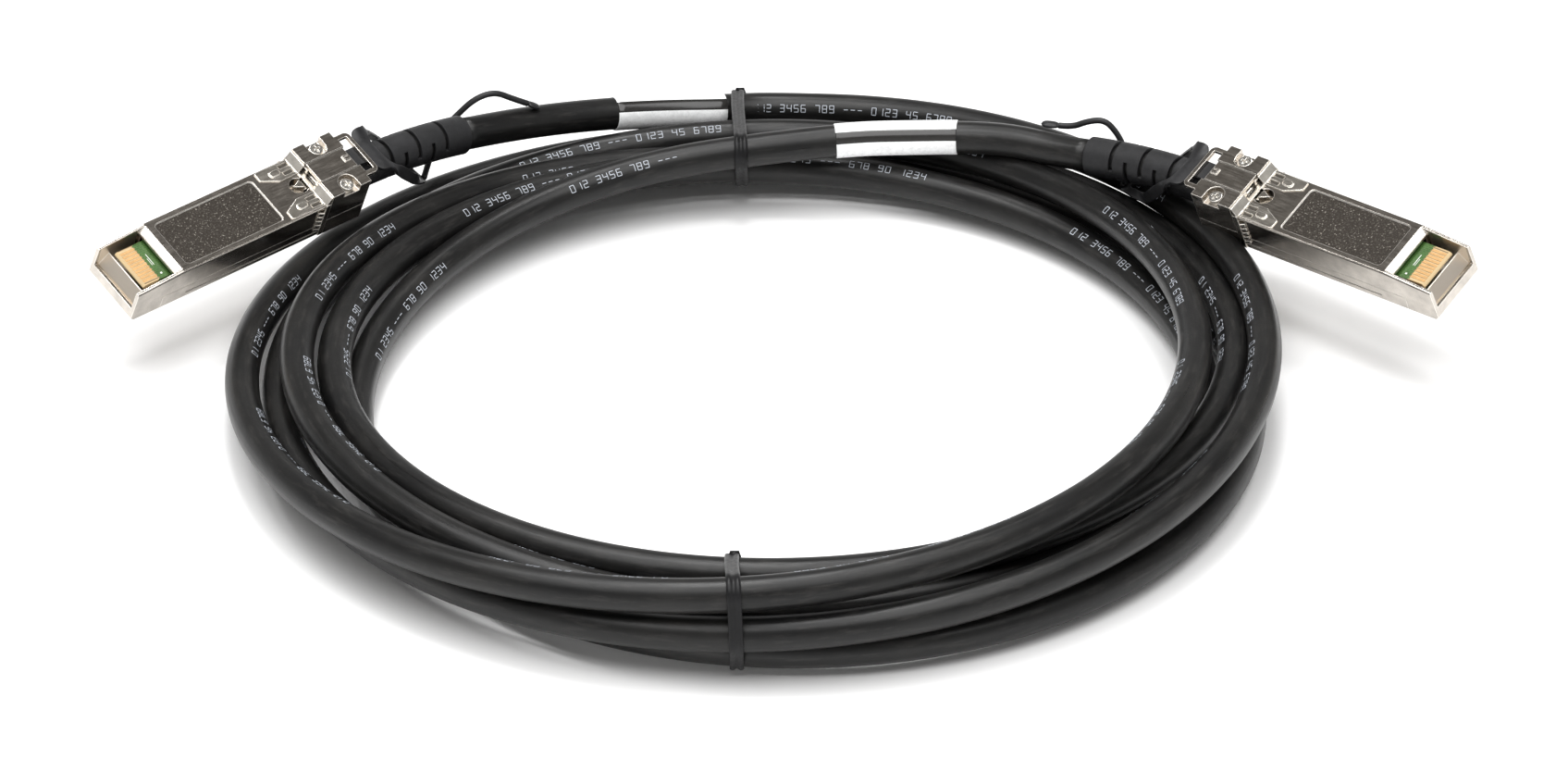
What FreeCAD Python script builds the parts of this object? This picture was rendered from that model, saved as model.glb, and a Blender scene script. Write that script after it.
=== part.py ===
import FreeCAD, Part
import math
import os
import Sketcher

os.makedirs("parts", exist_ok=True)

Vector = FreeCAD.Vector
Rotation = FreeCAD.Rotation
Placement = FreeCAD.Placement

# ---------------------------------------------------------------- driving dimensions, mm and degrees
DIMENSIONS = {
    # cable
    "cable_diameter": 6.5,
    "ring_x": -3.0,
    "ring_y": -1.0,
    "ring_corner": 3.0,
    "label_diameter": 6.9,
    "tie_x": -5.5,
    "tie_wide": 2.6,
    "tie_thick": 0.9,
    "tie_gap": 0.3,
    # plug body: x runs towards the nose from the latch shoulder, z up from the label side
    "body_wide": 13.55,
    "body_deep": 8.5,
    "body_edge": 0.35,
    "side_wall": 0.8,
    "cover_thick": 1.5,
    "floor_thick": 1.1,
    "seam_depth": 5.4,
    "seam_step": 38.0,
    "window_rear": 34.1,
    "window_bevel": 1.4,
    "window_drop": 1.0,
    "nose_end": 45.2,
    "nose_drop": 1.1,
    "nose_lean": 0.25,
    "nose_chamfer": 0.7,
    "lip_thick": 0.8,
    "lip_depth": 5.6,
    "cavity_rear": 2.6,
    "label_start": 8.4,
    "label_end": 32.5,
    "label_wide": 10.94,
    "label_depth": 0.25,
    "label_corner": 1.0,
    "side_groove_depth": 7.2,
    "side_groove_wide": 0.3,
    "side_groove_end": 32.0,
    "ramp_gap": 0.3,
    "ramp_lip": 0.35,
    "cut_over": 1.0,
    "join": 0.1,
    # rear block and the slotted frame behind it
    "block_front": 2.3,
    "block_rear": 11.8,
    "block_wide": 13.7,
    "block_rise": 2.13,
    "block_deep": 8.9,
    "block_seam": 4.8,
    "frame_rear": 15.1,
    "frame_wide": 10.8,
    "frame_thick": 0.75,
    "frame_corner": 1.2,
    "frame_join": 0.5,
    "slot_front": 12.2,
    "slot_rear": 14.2,
    "slot_wide": 8.8,
    "screw_x": 7.2,
    "screw_y": 5.0,
    "screw_head": 2.7,
    "screw_shank": 1.6,
    "screw_long": 7.0,
    "screw_head_thick": 0.9,
    "screw_fit": 0.1,
    "recess_long": 1.674,
    "recess_wide": 0.4,
    "recess_depth": 0.54,
    "counterbore": 3.9,
    "counterbore_depth": 1.5,
    # latch
    "tongue_wide": 5.0,
    "tongue_thick": 0.8,
    "tongue_front": 2.5,
    "tongue_gap": 0.15,
    "tongue_seat": 0.05,
    "tongue_rear": 0.5,
    "hook_rear": 0.8,
    "hook_front": 2.2,
    "hook_wide": 1.4,
    "hook_bar": 0.35,
    "hook_rise": 0.25,
    "hook_thick": 0.5,
    "lug_wide": 1.8,
    "latch_travel": 2.0,
    "post_long": 2.1,
    "post_wide": 2.1,
    "post_rise": 0.45,
    "rocker_top": 0.5,
    "rocker_thick": 0.8,
    "rocker_rear": 7.4,
    "tunnel_wide": 2.8,
    "tunnel_depth": 2.2,
    "tunnel_rear": 8.0,
    "post_pocket": 1.9,
    "pin_x": 3.6,
    "pin_depth": 0.9,
    "pin_diameter": 1.0,
    "pin_long": 5.2,
    "pin_clearance": 0.05,
    "boss_diameter": 2.0,
    # shielding collar
    "sheet_thick": 0.2,
    "collar_rear": 2.2,
    "collar_front": 1.0,
    "finger_reach": 1.7,
    "finger_bulge": 0.55,
    "finger_wide": 0.65,
    "finger_pitch": 1.2,
    "finger_first": 1.0,
    "finger_count": 5,
    "tab_inner": 2.5,
    "tab_shoulder": 3.4,
    "tab_tip_inset": 0.575,
    "tab_tip_wide": 1.9,
    "tab_tip_round": 0.6,
    "tab_reach": 7.0,
    "tab_opening_wide": 0.84,
    "tab_opening_inner": 0.85,
    "tab_opening_outer": 0.95,
    "tab_opening_end": 0.5,
    "tab_opening_start": 0.2,
    "dimple_x": 3.3,
    "dimple_inset": 2.275,
    "dimple_long": 2.3,
    "dimple_wide": 1.3,
    "dimple_rise": 0.25,
    "dimple_seat": 0.05,
    "flange_rise": 0.3,
    "flange_bend": 0.25,
    "flange_edge": 0.2,
    "finger_rest": 0.05,
    # board
    "board_front": 41.8,
    "board_rear": 10.0,
    "board_wide": 9.2,
    "board_top": 2.25,
    "board_thick": 1.0,
    "board_edge_low": 0.3,
    "board_edge_high": 0.35,
    "board_edge_back": 0.4,
    "rail_inset": 0.6,
    "rail_gap": 0.375,
    "contact_count": 10,
    "contact_pitch": 0.8,
    "contact_wide": 0.56,
    "contact_long": 3.3,
    "contact_thick": 0.05,
    "contact_inset": 0.5,
    # strain relief
    "boot_diameter": 7.8,
    "boot_axis": 3.7,
    "boot_straight": 14.0,
    "boot_bend_radius": 130.0,
    "boot_bend_angle": 12.2,
    "boot_flange": 8.5,
    "flange_front": 9.6,
    "flange_rear": 10.9,
    "boot_fit": 0.05,
    "boot_slot_wide": 0.9,
    "boot_slot_depth": 1.3,
    "boot_slot_pitch": 3.5,
    "boot_slot_last": 6.4,
    "boot_slot_angle_long": 150.0,
    "boot_slot_angle_short": 100.0,
    "bore_front": 8.3,
    "ferrule_thick": 0.45,
    "ferrule_long": 4.0,
    "channel_wide": 7.0,
    "channel_top": 0.7,
    "channel_end": 0.5,
    # pull tab
    "strap_thick": 0.6,
    "strap_under": 0.15,
    "strap_wide": 4.6,
    "strap_front": 9.8,
    "strap_side": 0.4,
    "strap_end": 0.3,
    "strap_above": 0.35,
    "strap_join": 0.9,
    "foot_wide": 2.4,
    "loop_start": 18.6,
    "loop_wide": 11.6,
    "loop_slope": 45.0,
    "loop_long": 18.5,
    "loop_leg": 1.3,
    "loop_skew": 3.6,
    "loop_head": 2.2,
    "loop_taper": 8.0,
    "loop_tip": 1.0,
    "loop_tip_wide": 0.4,
    "loop_hole_end": 1.6,
    "loop_hole_tip": 0.3,
    "strip_diameter": 1.3,
    "paddle_long": 3.6,
    "paddle_wide": 2.4,
    "paddle_thick": 0.8,
}


class Size:
    """A number in mm or degrees together with the sheet expression that gives it."""

    def __init__(self, value, text):
        self.value = float(value)
        self.text = text

    def __add__(self, other):
        other = size_of(other)
        return Size(self.value + other.value, "(%s + %s)" % (self.text, other.text))

    def __sub__(self, other):
        other = size_of(other)
        return Size(self.value - other.value, "(%s - %s)" % (self.text, other.text))

    def __mul__(self, other):
        other = size_of(other)
        return Size(self.value * other.value, "(%s * %s)" % (self.text, other.text))

    def __truediv__(self, other):
        other = size_of(other)
        return Size(self.value / other.value, "(%s / %s)" % (self.text, other.text))

    def __neg__(self):
        return Size(-self.value, "(0 - %s)" % self.text)

    def __radd__(self, other):
        return size_of(other) + self

    def __rsub__(self, other):
        return size_of(other) - self

    def __rmul__(self, other):
        return size_of(other) * self


def size_of(value):
    if isinstance(value, Size):
        return value
    return Size(value, "%.6g" % value)


doc = FreeCAD.newDocument("direct_attach_cable")
sheet = doc.addObject("Spreadsheet::Sheet", "Sizes")
for row, (alias, number) in enumerate(DIMENSIONS.items(), start=1):
    sheet.set("A%d" % row, alias)
    sheet.set("B%d" % row, "%g" % number)
    sheet.setAlias("B%d" % row, alias)
doc.recompute()


def dim(alias):
    return Size(DIMENSIONS[alias], "Sizes." + alias)


def mm(alias):
    return float(DIMENSIONS[alias])


NODES = []
LEAST_CUT = 1e-4
SHORTEST_RUN = 0.01
LINED_UP = 0.01
BOOT_SLOT_ROWS = 5


# ---------------------------------------------------------------- helpers for bodies and sketches
def bind(target, name, size):
    target.setExpression(name, size_of(size).text)


def new_body(label, placement):
    body = doc.addObject("PartDesign::Body", label)
    body.Label = label
    body.Placement = placement
    body.AllowCompound = True
    NODES.append(body)
    return body


def origin_feature(body, role):
    return [item for item in body.Origin.OriginFeatures if item.Role == role][0]


def new_sketch(body, role, offset=0.0):
    sketch = body.newObject("Sketcher::SketchObject", body.Name + "_sketch")
    sketch.AttachmentSupport = [(origin_feature(body, role), "")]
    sketch.MapMode = "FlatFace"
    bind(sketch, "AttachmentOffset.Base.z", offset)
    return sketch


def bind_last(sketch, index, size):
    if "Sizes" in size.text:
        sketch.setExpression("Constraints[%d]" % index, size.text)


def pin_point(sketch, geometry, end, point):
    """Hold one end of a piece of geometry at a point given by two sizes."""
    for kind, size in (("DistanceX", point[0]), ("DistanceY", point[1])):
        size = size_of(size)
        index = sketch.addConstraint(Sketcher.Constraint(kind, -1, 1, geometry, end, size.value))
        bind_last(sketch, index, size)


def draw_outline(sketch, points):
    """Closed outline. A point is (x, y), or (x, y, r) for a rounded corner with sides along X and Y."""
    count = len(points)
    starts = []
    ends = []
    for number in range(count):
        here = points[number]
        if len(here) == 2:
            starts.append(here)
            ends.append(here)
            continue
        before = points[number - 1]
        after = points[(number + 1) % count]
        starts.append(step_towards(here, before))
        ends.append(step_towards(here, after))
    lines = []
    for number in range(count):
        first = ends[number]
        last = starts[(number + 1) % count]
        line = sketch.addGeometry(Part.LineSegment(flat(first), flat(last)), False)
        lines.append(line)
        pin_point(sketch, line, 1, first)
        if len(points[(number + 1) % count]) == 3:
            pin_point(sketch, line, 2, last)
    for number in range(count):
        line_before = lines[number - 1]
        line_after = lines[number]
        if len(points[number]) == 2:
            sketch.addConstraint(Sketcher.Constraint("Coincident", line_before, 2, line_after, 1))
            continue
        draw_corner(sketch, points, number, starts[number], ends[number], line_before, line_after)


def flat(point):
    return Vector(size_of(point[0]).value, size_of(point[1]).value, 0.0)


def step_towards(corner, other):
    """The point one corner radius from a corner, along the side towards another point."""
    across = size_of(other[0]).value - size_of(corner[0]).value
    along = size_of(other[1]).value - size_of(corner[1]).value
    if abs(across) > abs(along):
        return (size_of(corner[0]) + math.copysign(1.0, across) * size_of(corner[2]), size_of(corner[1]))
    return (size_of(corner[0]), size_of(corner[1]) + math.copysign(1.0, along) * size_of(corner[2]))


def draw_corner(sketch, points, number, start, end, line_before, line_after):
    radius = size_of(points[number][2])
    start_flat = flat(start)
    end_flat = flat(end)
    centre = start_flat + end_flat - flat(points[number])
    turn = (start_flat - centre).cross(end_flat - centre).z
    first, last = (start_flat, end_flat) if turn > 0 else (end_flat, start_flat)
    first_angle = math.atan2(first.y - centre.y, first.x - centre.x)
    last_angle = math.atan2(last.y - centre.y, last.x - centre.x)
    circle = Part.Circle(centre, Vector(0, 0, 1), radius.value)
    arc = sketch.addGeometry(Part.ArcOfCircle(circle, first_angle, last_angle), False)
    start_end = 1 if turn > 0 else 2
    sketch.addConstraint(Sketcher.Constraint("Coincident", line_before, 2, arc, start_end))
    sketch.addConstraint(Sketcher.Constraint("Coincident", line_after, 1, arc, 3 - start_end))
    index = sketch.addConstraint(Sketcher.Constraint("Radius", arc, radius.value))
    bind_last(sketch, index, radius)


def draw_circle(sketch, x, y, diameter):
    radius = size_of(diameter) / 2
    circle = Part.Circle(flat((x, y)), Vector(0, 0, 1), radius.value)
    geometry = sketch.addGeometry(circle, False)
    pin_point(sketch, geometry, 3, (x, y))
    index = sketch.addConstraint(Sketcher.Constraint("Radius", geometry, radius.value))
    bind_last(sketch, index, radius)


def box_outline(x_low, x_high, y_low, y_high, corner=None):
    corners = [(x_low, y_low), (x_high, y_low), (x_high, y_high), (x_low, y_high)]
    if corner is None:
        return corners
    return [(x, y, corner) for x, y in corners]


def add_feature(body, kind, sketch, length, both_sides, reverse):
    feature = body.newObject("PartDesign::" + kind, body.Name + "_" + kind.lower())
    feature.Profile = sketch
    feature.Midplane = both_sides
    feature.Reversed = reverse
    bind(feature, "Length", length)
    body.Tip = feature
    return feature


def pad(body, sketch, length, both_sides=False, reverse=False):
    return add_feature(body, "Pad", sketch, length, both_sides, reverse)


def pocket(body, sketch, length, both_sides=False, reverse=False):
    """A pocket that has to take material away, so the body's volume is compared."""
    doc.recompute()
    before = body.Shape.Volume
    feature = add_feature(body, "Pocket", sketch, length, both_sides, reverse)
    doc.recompute()
    if body.Shape.Volume > before - LEAST_CUT:
        raise ValueError(body.Label + ": a pocket cuts nothing")
    return feature


def side_profile(body, points, width, cut=False):
    """A profile in the plug's side view, x and z, extruded evenly across the width."""
    sketch = new_sketch(body, "XZ_Plane")
    draw_outline(sketch, points)
    if cut:
        return pocket(body, sketch, width, both_sides=True)
    return pad(body, sketch, width, both_sides=True)


def top_profile(body, outline, top, depth, cut=False, circle=None):
    """An outline in the plug's top view, extruded down from a height by a depth."""
    sketch = new_sketch(body, "XY_Plane", top)
    if circle is None:
        draw_outline(sketch, outline)
    else:
        draw_circle(sketch, *circle)
    if cut:
        return pocket(body, sketch, depth)
    return pad(body, sketch, depth, reverse=True)


def mirror_across(body, features):
    mirrored = body.newObject("PartDesign::Mirrored", body.Name + "_mirrored")
    mirrored.Originals = features
    mirrored.MirrorPlane = (origin_feature(body, "XZ_Plane"), [""])
    body.Tip = mirrored
    return mirrored


def edges_named(shape, wanted):
    names = []
    for number, edge in enumerate(shape.Edges, start=1):
        if wanted(edge):
            names.append("Edge%d" % number)
    return names


def dress_edges(body, kind, wanted, size_name, size):
    doc.recompute()
    base = body.Tip
    feature = body.newObject("PartDesign::" + kind, body.Name + "_" + kind.lower())
    feature.Base = (base, edges_named(base.Shape, wanted))
    bind(feature, size_name, size)
    body.Tip = feature
    return feature


def new_feature(label, shape, placement=None):
    """A shape made with Part's own functions. Its placement is set after its shape."""
    feature = doc.addObject("Part::Feature", label)
    feature.Label = label
    feature.Shape = shape
    if placement is not None:
        feature.Placement = placement
    NODES.append(feature)
    return feature


# ---------------------------------------------------------------- paths of straight runs and arcs
def path_edges(points, name):
    """Straight runs joined by tangent arcs as large as the two runs allow."""
    points = [Vector(*point) for point in points]
    edges = []
    radii = []
    start = points[0]
    for before, corner, after in zip(points, points[1:], points[2:]):
        inward = (before - corner).normalize()
        outward = (after - corner).normalize()
        half_turn = (math.pi - inward.getAngle(outward)) / 2
        reach = 0.45 * min((before - corner).Length, (after - corner).Length)
        radii.append(reach / math.tan(half_turn))
        first = corner + inward * reach
        last = corner + outward * reach
        centre_way = (inward + outward).normalize()
        middle = corner + centre_way * (math.hypot(radii[-1], reach) - radii[-1])
        edges.append(Part.LineSegment(start, first).toShape())
        edges.append(Part.Arc(first, middle, last).toShape())
        start = last
    edges.append(Part.LineSegment(start, points[-1]).toShape())
    print(name, "bend radii", [round(radius, 1) for radius in radii])
    return edges


def part_of_path(edges, start, end):
    """The stretch of a path between two distances along it."""
    kept = []
    run = 0.0
    for edge in edges:
        low = max(start, run)
        high = min(end, run + edge.Length)
        if high - low > SHORTEST_RUN:
            first = edge.Curve.parameterAtDistance(low - run, edge.FirstParameter)
            last = edge.Curve.parameterAtDistance(high - run, edge.FirstParameter)
            kept.append(edge.Curve.toShape(first, last))
        run += edge.Length
    return kept


def tube(edges, outer, inner=0.0):
    """A round tube or rod swept along a path, checked against its section times its length."""
    wire = Part.Wire(edges)
    start = edges[0].valueAt(edges[0].FirstParameter)
    way = edges[0].tangentAt(edges[0].FirstParameter)
    solid = sweep_circle(wire, start, way, outer)
    area = math.pi * outer * outer / 4
    if inner > 0:
        solid = solid.cut(sweep_circle(wire, start, way, inner))
        area -= math.pi * inner * inner / 4
    print("volume over section times length", round(solid.Volume / (area * wire.Length), 4))
    return solid


def sweep_circle(wire, start, way, diameter):
    circle = Part.Wire([Part.makeCircle(diameter / 2, start, way)])
    return wire.makePipeShell([circle], True, False)


# ---------------------------------------------------------------- coil
# One turn of the tied bundle, by the angle clockwise from the back seen from above.
# Each station gives the bundle's section: inner radius, outer radius, underside,
# inner top height and outer top height.
COIL_STATIONS = [
    (0, 66.2, 102.6, 1.2, 19.0, 11.0),
    (30, 72.5, 101.0, 0.5, 12.5, 12.0),
    (60, 77.5, 99.0, 0.4, 12.0, 10.0),
    (90, 78.0, 98.0, 0.4, 18.5, 15.5),
    (120, 79.5, 97.5, 0.5, 21.0, 17.0),
    (150, 77.0, 97.5, 0.8, 21.5, 18.5),
    (180, 74.2, 97.5, 1.2, 16.5, 21.0),
    (210, 75.0, 99.5, 0.6, 15.5, 18.5),
    (240, 77.0, 102.0, 0.4, 16.5, 15.0),
    (270, 74.0, 102.8, 0.4, 15.5, 12.0),
    (300, 70.5, 101.5, 0.4, 13.5, 9.0),
    (330, 68.5, 99.0, 0.7, 14.0, 8.5),
]


def rounded_wire(corners, radius):
    """Closed wire through four corners, each rounded by a tangent arc."""
    edges = []
    count = len(corners)
    ends = []
    for number in range(count):
        corner = corners[number]
        back = (corners[number - 1] - corner).normalize()
        ahead = (corners[(number + 1) % count] - corner).normalize()
        half_turn = (math.pi - back.getAngle(ahead)) / 2
        reach = radius * math.tan(half_turn)
        first = corner + back * reach
        last = corner + ahead * reach
        middle = corner + (back + ahead).normalize() * (math.hypot(radius, reach) - radius)
        ends.append((first, middle, last))
    for number in range(count):
        first, middle, last = ends[number]
        edges.append(Part.Arc(first, middle, last).toShape())
        edges.append(Part.LineSegment(last, ends[(number + 1) % count][0]).toShape())
    return Part.Wire(edges)


def coil_section(station, outward, centre):
    inner, outer, under, top_inner, top_outer = station[1:]
    corners = []
    for radius, height in ((inner, under), (outer, under), (outer, top_outer), (inner, top_inner)):
        corners.append(centre + outward * radius + Vector(0, 0, height))
    return rounded_wire(corners, mm("ring_corner"))


def ring_centre():
    return Vector(mm("ring_x"), mm("ring_y"), 0)


def build_coil():
    wires = []
    for station in COIL_STATIONS:
        angle = math.radians(90 - station[0])
        outward = Vector(math.cos(angle), math.sin(angle), 0)
        wires.append(coil_section(station, outward, ring_centre()))
    new_feature("cable_coil", Part.makeLoft(wires, True, False, True))


def build_tie(label, station, side):
    """A flat tie drawn tight round the bundle, in the plane across it."""
    section = coil_section(station, Vector(0, side, 0), Vector(mm("tie_x"), mm("ring_y"), 0))
    inner = section.makeOffset2D(mm("tie_gap"))
    outer = section.makeOffset2D(mm("tie_gap") + mm("tie_thick"))
    band = Part.Face(outer).extrude(Vector(mm("tie_wide"), 0, 0))
    hole = Part.Face(inner).extrude(Vector(mm("tie_wide"), 0, 0))
    ring = band.cut(hole)
    ring.translate(Vector(-mm("tie_wide") / 2, 0, 0))
    new_feature(label, ring)


# ---------------------------------------------------------------- leads between the coil and the boots
# Points from each boot's end to where the lead joins the bundle, from the coil's centre.
LEAD_POINTS = {
    "left": [
        (-56.0, 75.6, 16.6), (-45.5, 83.2, 14.3), (-33.0, 89.6, 12.2),
        (-20.0, 94.4, 10.2), (-8.5, 97.3, 8.7),
    ],
    "right": [
        (57.3, 65.3, 17.6), (49.8, 68.9, 17.9), (39.9, 71.6, 17.2),
        (29.2, 72.2, 16.7), (17.4, 72.3, 16.4), (3.7, 71.0, 15.8),
    ],
}
LABEL_SPAN = {"left": (36.5, 59.9), "right": (28.6, 53.0)}


def from_ring(point):
    return ring_centre() + Vector(*point)


def build_lead(plug):
    points = [plug.boot_end()] + [from_ring(point) for point in LEAD_POINTS[plug.side]]
    edges = path_edges([tuple(point) for point in points], "lead_" + plug.side)
    new_feature("lead_" + plug.side, tube(edges, mm("cable_diameter")))
    start, end = LABEL_SPAN[plug.side]
    sleeve = part_of_path(edges, start, end)
    new_feature("label_sleeve_" + plug.side, tube(sleeve, mm("label_diameter"), mm("cable_diameter")))


# ---------------------------------------------------------------- one plug
class Plug:
    def __init__(self, side, position, yaw, pitch, roll, bend_turn, skew_sign):
        self.side = side
        self.placement = Placement(ring_centre() + Vector(*position), Rotation(yaw, pitch, roll))
        self.upright = Placement(ring_centre() + Vector(*position), Rotation(yaw, pitch, 0))
        self.roll = roll
        self.bend_turn = bend_turn
        self.skew_sign = skew_sign

    def label(self, piece):
        return piece + "_" + self.side

    def boot_axis_start(self):
        """Centre of the boot where its bend starts, on the plug's own axis."""
        return self.placement.multVec(Vector(-mm("boot_straight"), 0, -mm("boot_axis")))

    def boot_frame(self):
        """The boot's bend frame: x towards the nose, z away from its bend, at the start of the bend."""
        turn = Rotation(Vector(1, 0, 0), self.bend_turn)
        return Placement(self.boot_axis_start(), self.upright.Rotation.multiply(turn))

    def boot_point(self, angle):
        """A point on the boot's bent axis, after an angle in degrees."""
        radius = mm("boot_bend_radius")
        turn = math.radians(angle)
        return self.boot_frame().multVec(Vector(-radius * math.sin(turn), 0, -radius * (1 - math.cos(turn))))

    def boot_end(self):
        return self.boot_point(mm("boot_bend_angle"))


def half(alias):
    return dim(alias) / 2


def inner_wide():
    """Width of the space between the shells' side walls."""
    return dim("body_wide") - 2 * dim("side_wall")


def build_cover_shell(plug):
    body = new_body(plug.label("cover_shell"), plug.placement)
    inner = inner_wide() / 2
    over = dim("cut_over")
    window_front = dim("window_rear") + dim("window_bevel")
    tray_front = dim("nose_end") - dim("lip_thick")
    side_profile(body, [
        (-dim("block_front"), -dim("seam_depth")),
        (dim("seam_step"), -dim("seam_depth")),
        (dim("seam_step"), -dim("body_deep")),
        (dim("nose_end") - dim("nose_chamfer"), -dim("body_deep")),
        (dim("nose_end"), dim("nose_chamfer") - dim("body_deep")),
        (dim("nose_end") - dim("nose_lean"), -dim("nose_drop")),
        (dim("window_rear"), 0),
        (-dim("block_front"), 0),
    ], dim("body_wide"))
    edge_y = mm("body_wide") / 2

    def long_top_edge(edge):
        box = edge.BoundBox
        on_top = box.ZMin > -mm("nose_drop") - LINED_UP
        at_side = abs(abs(box.YMax) - edge_y) < LINED_UP
        return on_top and at_side and box.YLength < LINED_UP

    dress_edges(body, "Fillet", long_top_edge, "Radius", dim("body_edge"))
    # nose tray with its lip
    top_profile(body, box_outline(window_front, tray_front, -inner, inner),
                over, over + dim("body_deep") - dim("floor_thick"), cut=True)
    top_profile(body, box_outline(tray_front - dim("join"), dim("nose_end") + over, -inner, inner),
                over, over + dim("lip_depth"), cut=True)
    # bevel down to the window
    bevel_run = dim("window_bevel") + dim("join")
    side_profile(body, [
        (dim("window_rear"), 0),
        (dim("window_rear") + bevel_run, -dim("window_drop") * bevel_run / dim("window_bevel")),
        (dim("window_rear") + bevel_run, over),
        (dim("window_rear"), over),
    ], inner_wide(), cut=True)
    # lead-in ramp behind the lip
    ramp_foot = dim("floor_thick") / 2 - dim("body_deep")
    side_profile(body, [
        (dim("board_front") + dim("join"), ramp_foot),
        (tray_front - dim("ramp_lip"), ramp_foot),
        (tray_front - dim("ramp_lip"), -dim("lip_depth") - dim("ramp_gap")),
        (dim("board_front") + dim("join"), -dim("board_top") - dim("board_thick") - dim("ramp_gap")),
    ], inner_wide())
    # cavity over the board
    side_profile(body, [
        (dim("cavity_rear"), -dim("body_deep")),
        (window_front + dim("join"), -dim("body_deep")),
        (window_front + dim("join"), -dim("cover_thick")),
        (dim("cavity_rear"), -dim("cover_thick")),
    ], inner_wide(), cut=True)
    # recess for a label
    top_profile(body, box_outline(dim("label_start"), dim("label_end"), -half("label_wide"),
                                  half("label_wide"), dim("label_corner")),
                0, dim("label_depth"), cut=True)
    # rear block and the frame behind it
    side_profile(body, box_outline(-dim("block_rear"), -dim("block_front"), -dim("block_seam"),
                                   dim("block_rise")), dim("block_wide"))
    top_profile(body, box_outline(-dim("frame_rear"), dim("frame_join") - dim("block_rear"),
                                  -half("frame_wide"), half("frame_wide")),
                dim("block_rise"), dim("frame_thick"))

    def frame_corner(edge):
        box = edge.BoundBox
        upright = box.XLength < LINED_UP and box.YLength < LINED_UP
        return upright and box.XMax < -mm("frame_rear") + LINED_UP

    dress_edges(body, "Fillet", frame_corner, "Radius", dim("frame_corner"))
    top_profile(body, box_outline(-dim("slot_rear"), -dim("slot_front"), -half("slot_wide"),
                                  half("slot_wide")),
                dim("block_rise") + over, dim("frame_thick") + 2 * over, cut=True)
    groove_half = half("tongue_wide") + dim("tongue_gap")
    top_profile(body, box_outline(-dim("slot_front") - dim("join"), over - dim("block_front"),
                                  -groove_half, groove_half),
                dim("block_rise") + over, over + dim("tongue_thick") + dim("tongue_seat"), cut=True)
    # strap channel under the rear of the tongue
    strap_half = half("strap_wide") + dim("strap_side")
    top_profile(body, box_outline(-dim("block_rear") - dim("join"), dim("strap_end") - dim("strap_front"),
                                  -strap_half, strap_half),
                dim("block_rise") - dim("frame_thick"),
                dim("strap_thick") + dim("strap_under") + dim("strap_above"), cut=True)
    # counterbores, open to the sides, and the screw holes
    bore_top = dim("block_rise") + over
    bore = top_profile(body, None, bore_top, over + dim("counterbore_depth"), cut=True,
                       circle=(-dim("screw_x"), dim("screw_y"), dim("counterbore")))
    opening = top_profile(body, box_outline(-dim("screw_x") - half("counterbore"),
                                            -dim("screw_x") + half("counterbore"),
                                            dim("screw_y"), half("block_wide") + over),
                          bore_top, over + dim("counterbore_depth"), cut=True)
    hole = top_profile(body, None, dim("block_rise"), bore_top + dim("block_seam"), cut=True,
                       circle=(-dim("screw_x"), dim("screw_y"), dim("screw_shank") + dim("screw_fit")))
    mirror_across(body, [bore, opening, hole])
    # pocket round the latch post and the tunnel for the rocker
    top_profile(body, None, dim("block_rise"), dim("block_rise") + dim("tunnel_depth"), cut=True,
                circle=(dim("post_long") / 3, 0, 2 * dim("post_pocket")))
    top_profile(body, box_outline(-dim("tunnel_rear"), 0, -half("tunnel_wide"), half("tunnel_wide")),
                dim("block_rise"), dim("block_rise") + dim("tunnel_depth"), cut=True)
    pin = new_sketch(body, "XZ_Plane")
    draw_circle(pin, -dim("pin_x"), -dim("pin_depth"), dim("pin_diameter"))
    pocket(body, pin, dim("pin_long"), both_sides=True)
    bore_for_cable(body)
    return body


def bore_for_cable(body):
    """The bore that both shell halves share for the boot, its flange and the crimped cable."""
    for start, end, diameter in (
            (dim("bore_front"), dim("frame_rear"), dim("boot_diameter") + 2 * dim("boot_fit")),
            (dim("flange_front"), dim("flange_rear"), dim("boot_flange") + 2 * dim("boot_fit"))):
        sketch = new_sketch(body, "YZ_Plane", -start)
        draw_circle(sketch, 0, -dim("boot_axis"), diameter)
        pocket(body, sketch, end - start)
    # channel for the wires from the cable's end to the board
    side_profile(body, box_outline(-dim("bore_front") - dim("join"), dim("cavity_rear") + dim("channel_end"),
                                   dim("floor_thick") - dim("body_deep"),
                                   -dim("board_top") - dim("channel_top")),
                 dim("channel_wide"), cut=True)


def build_base_shell(plug):
    body = new_body(plug.label("base_shell"), plug.placement)
    inner = inner_wide() / 2
    over = dim("cut_over")
    side_profile(body, box_outline(-dim("block_front"), dim("seam_step"), -dim("body_deep"),
                                   -dim("seam_depth")), dim("body_wide"))
    top_profile(body, box_outline(dim("cavity_rear"), dim("seam_step") + over, -inner, inner),
                0, dim("body_deep") - dim("floor_thick"), cut=True)
    # rails that carry the board
    board_under = dim("board_top") + dim("board_thick")
    rail = top_profile(body, box_outline(dim("board_rear"), dim("window_rear"),
                                         half("board_wide") - dim("rail_inset"), inner - dim("rail_gap")),
                       -board_under, dim("body_deep") - board_under - dim("floor_thick") / 2)
    mirror_across(body, [rail])
    # narrow step along each side
    step = top_profile(body, box_outline(-dim("block_front") - over, dim("side_groove_end"),
                                         half("body_wide") - dim("side_groove_wide"),
                                         half("body_wide") + over),
                       -dim("side_groove_depth"), dim("side_groove_wide"), cut=True)
    mirror_across(body, [step])
    side_profile(body, box_outline(-dim("block_rear"), -dim("block_front"), -dim("block_deep"),
                                   -dim("block_seam")), dim("block_wide"))
    thread = top_profile(body, None, 0, dim("body_deep") - dim("floor_thick"), cut=True,
                         circle=(-dim("screw_x"), dim("screw_y"), dim("screw_shank") + dim("screw_fit")))
    mirror_across(body, [thread])
    bore_for_cable(body)
    return body


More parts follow.
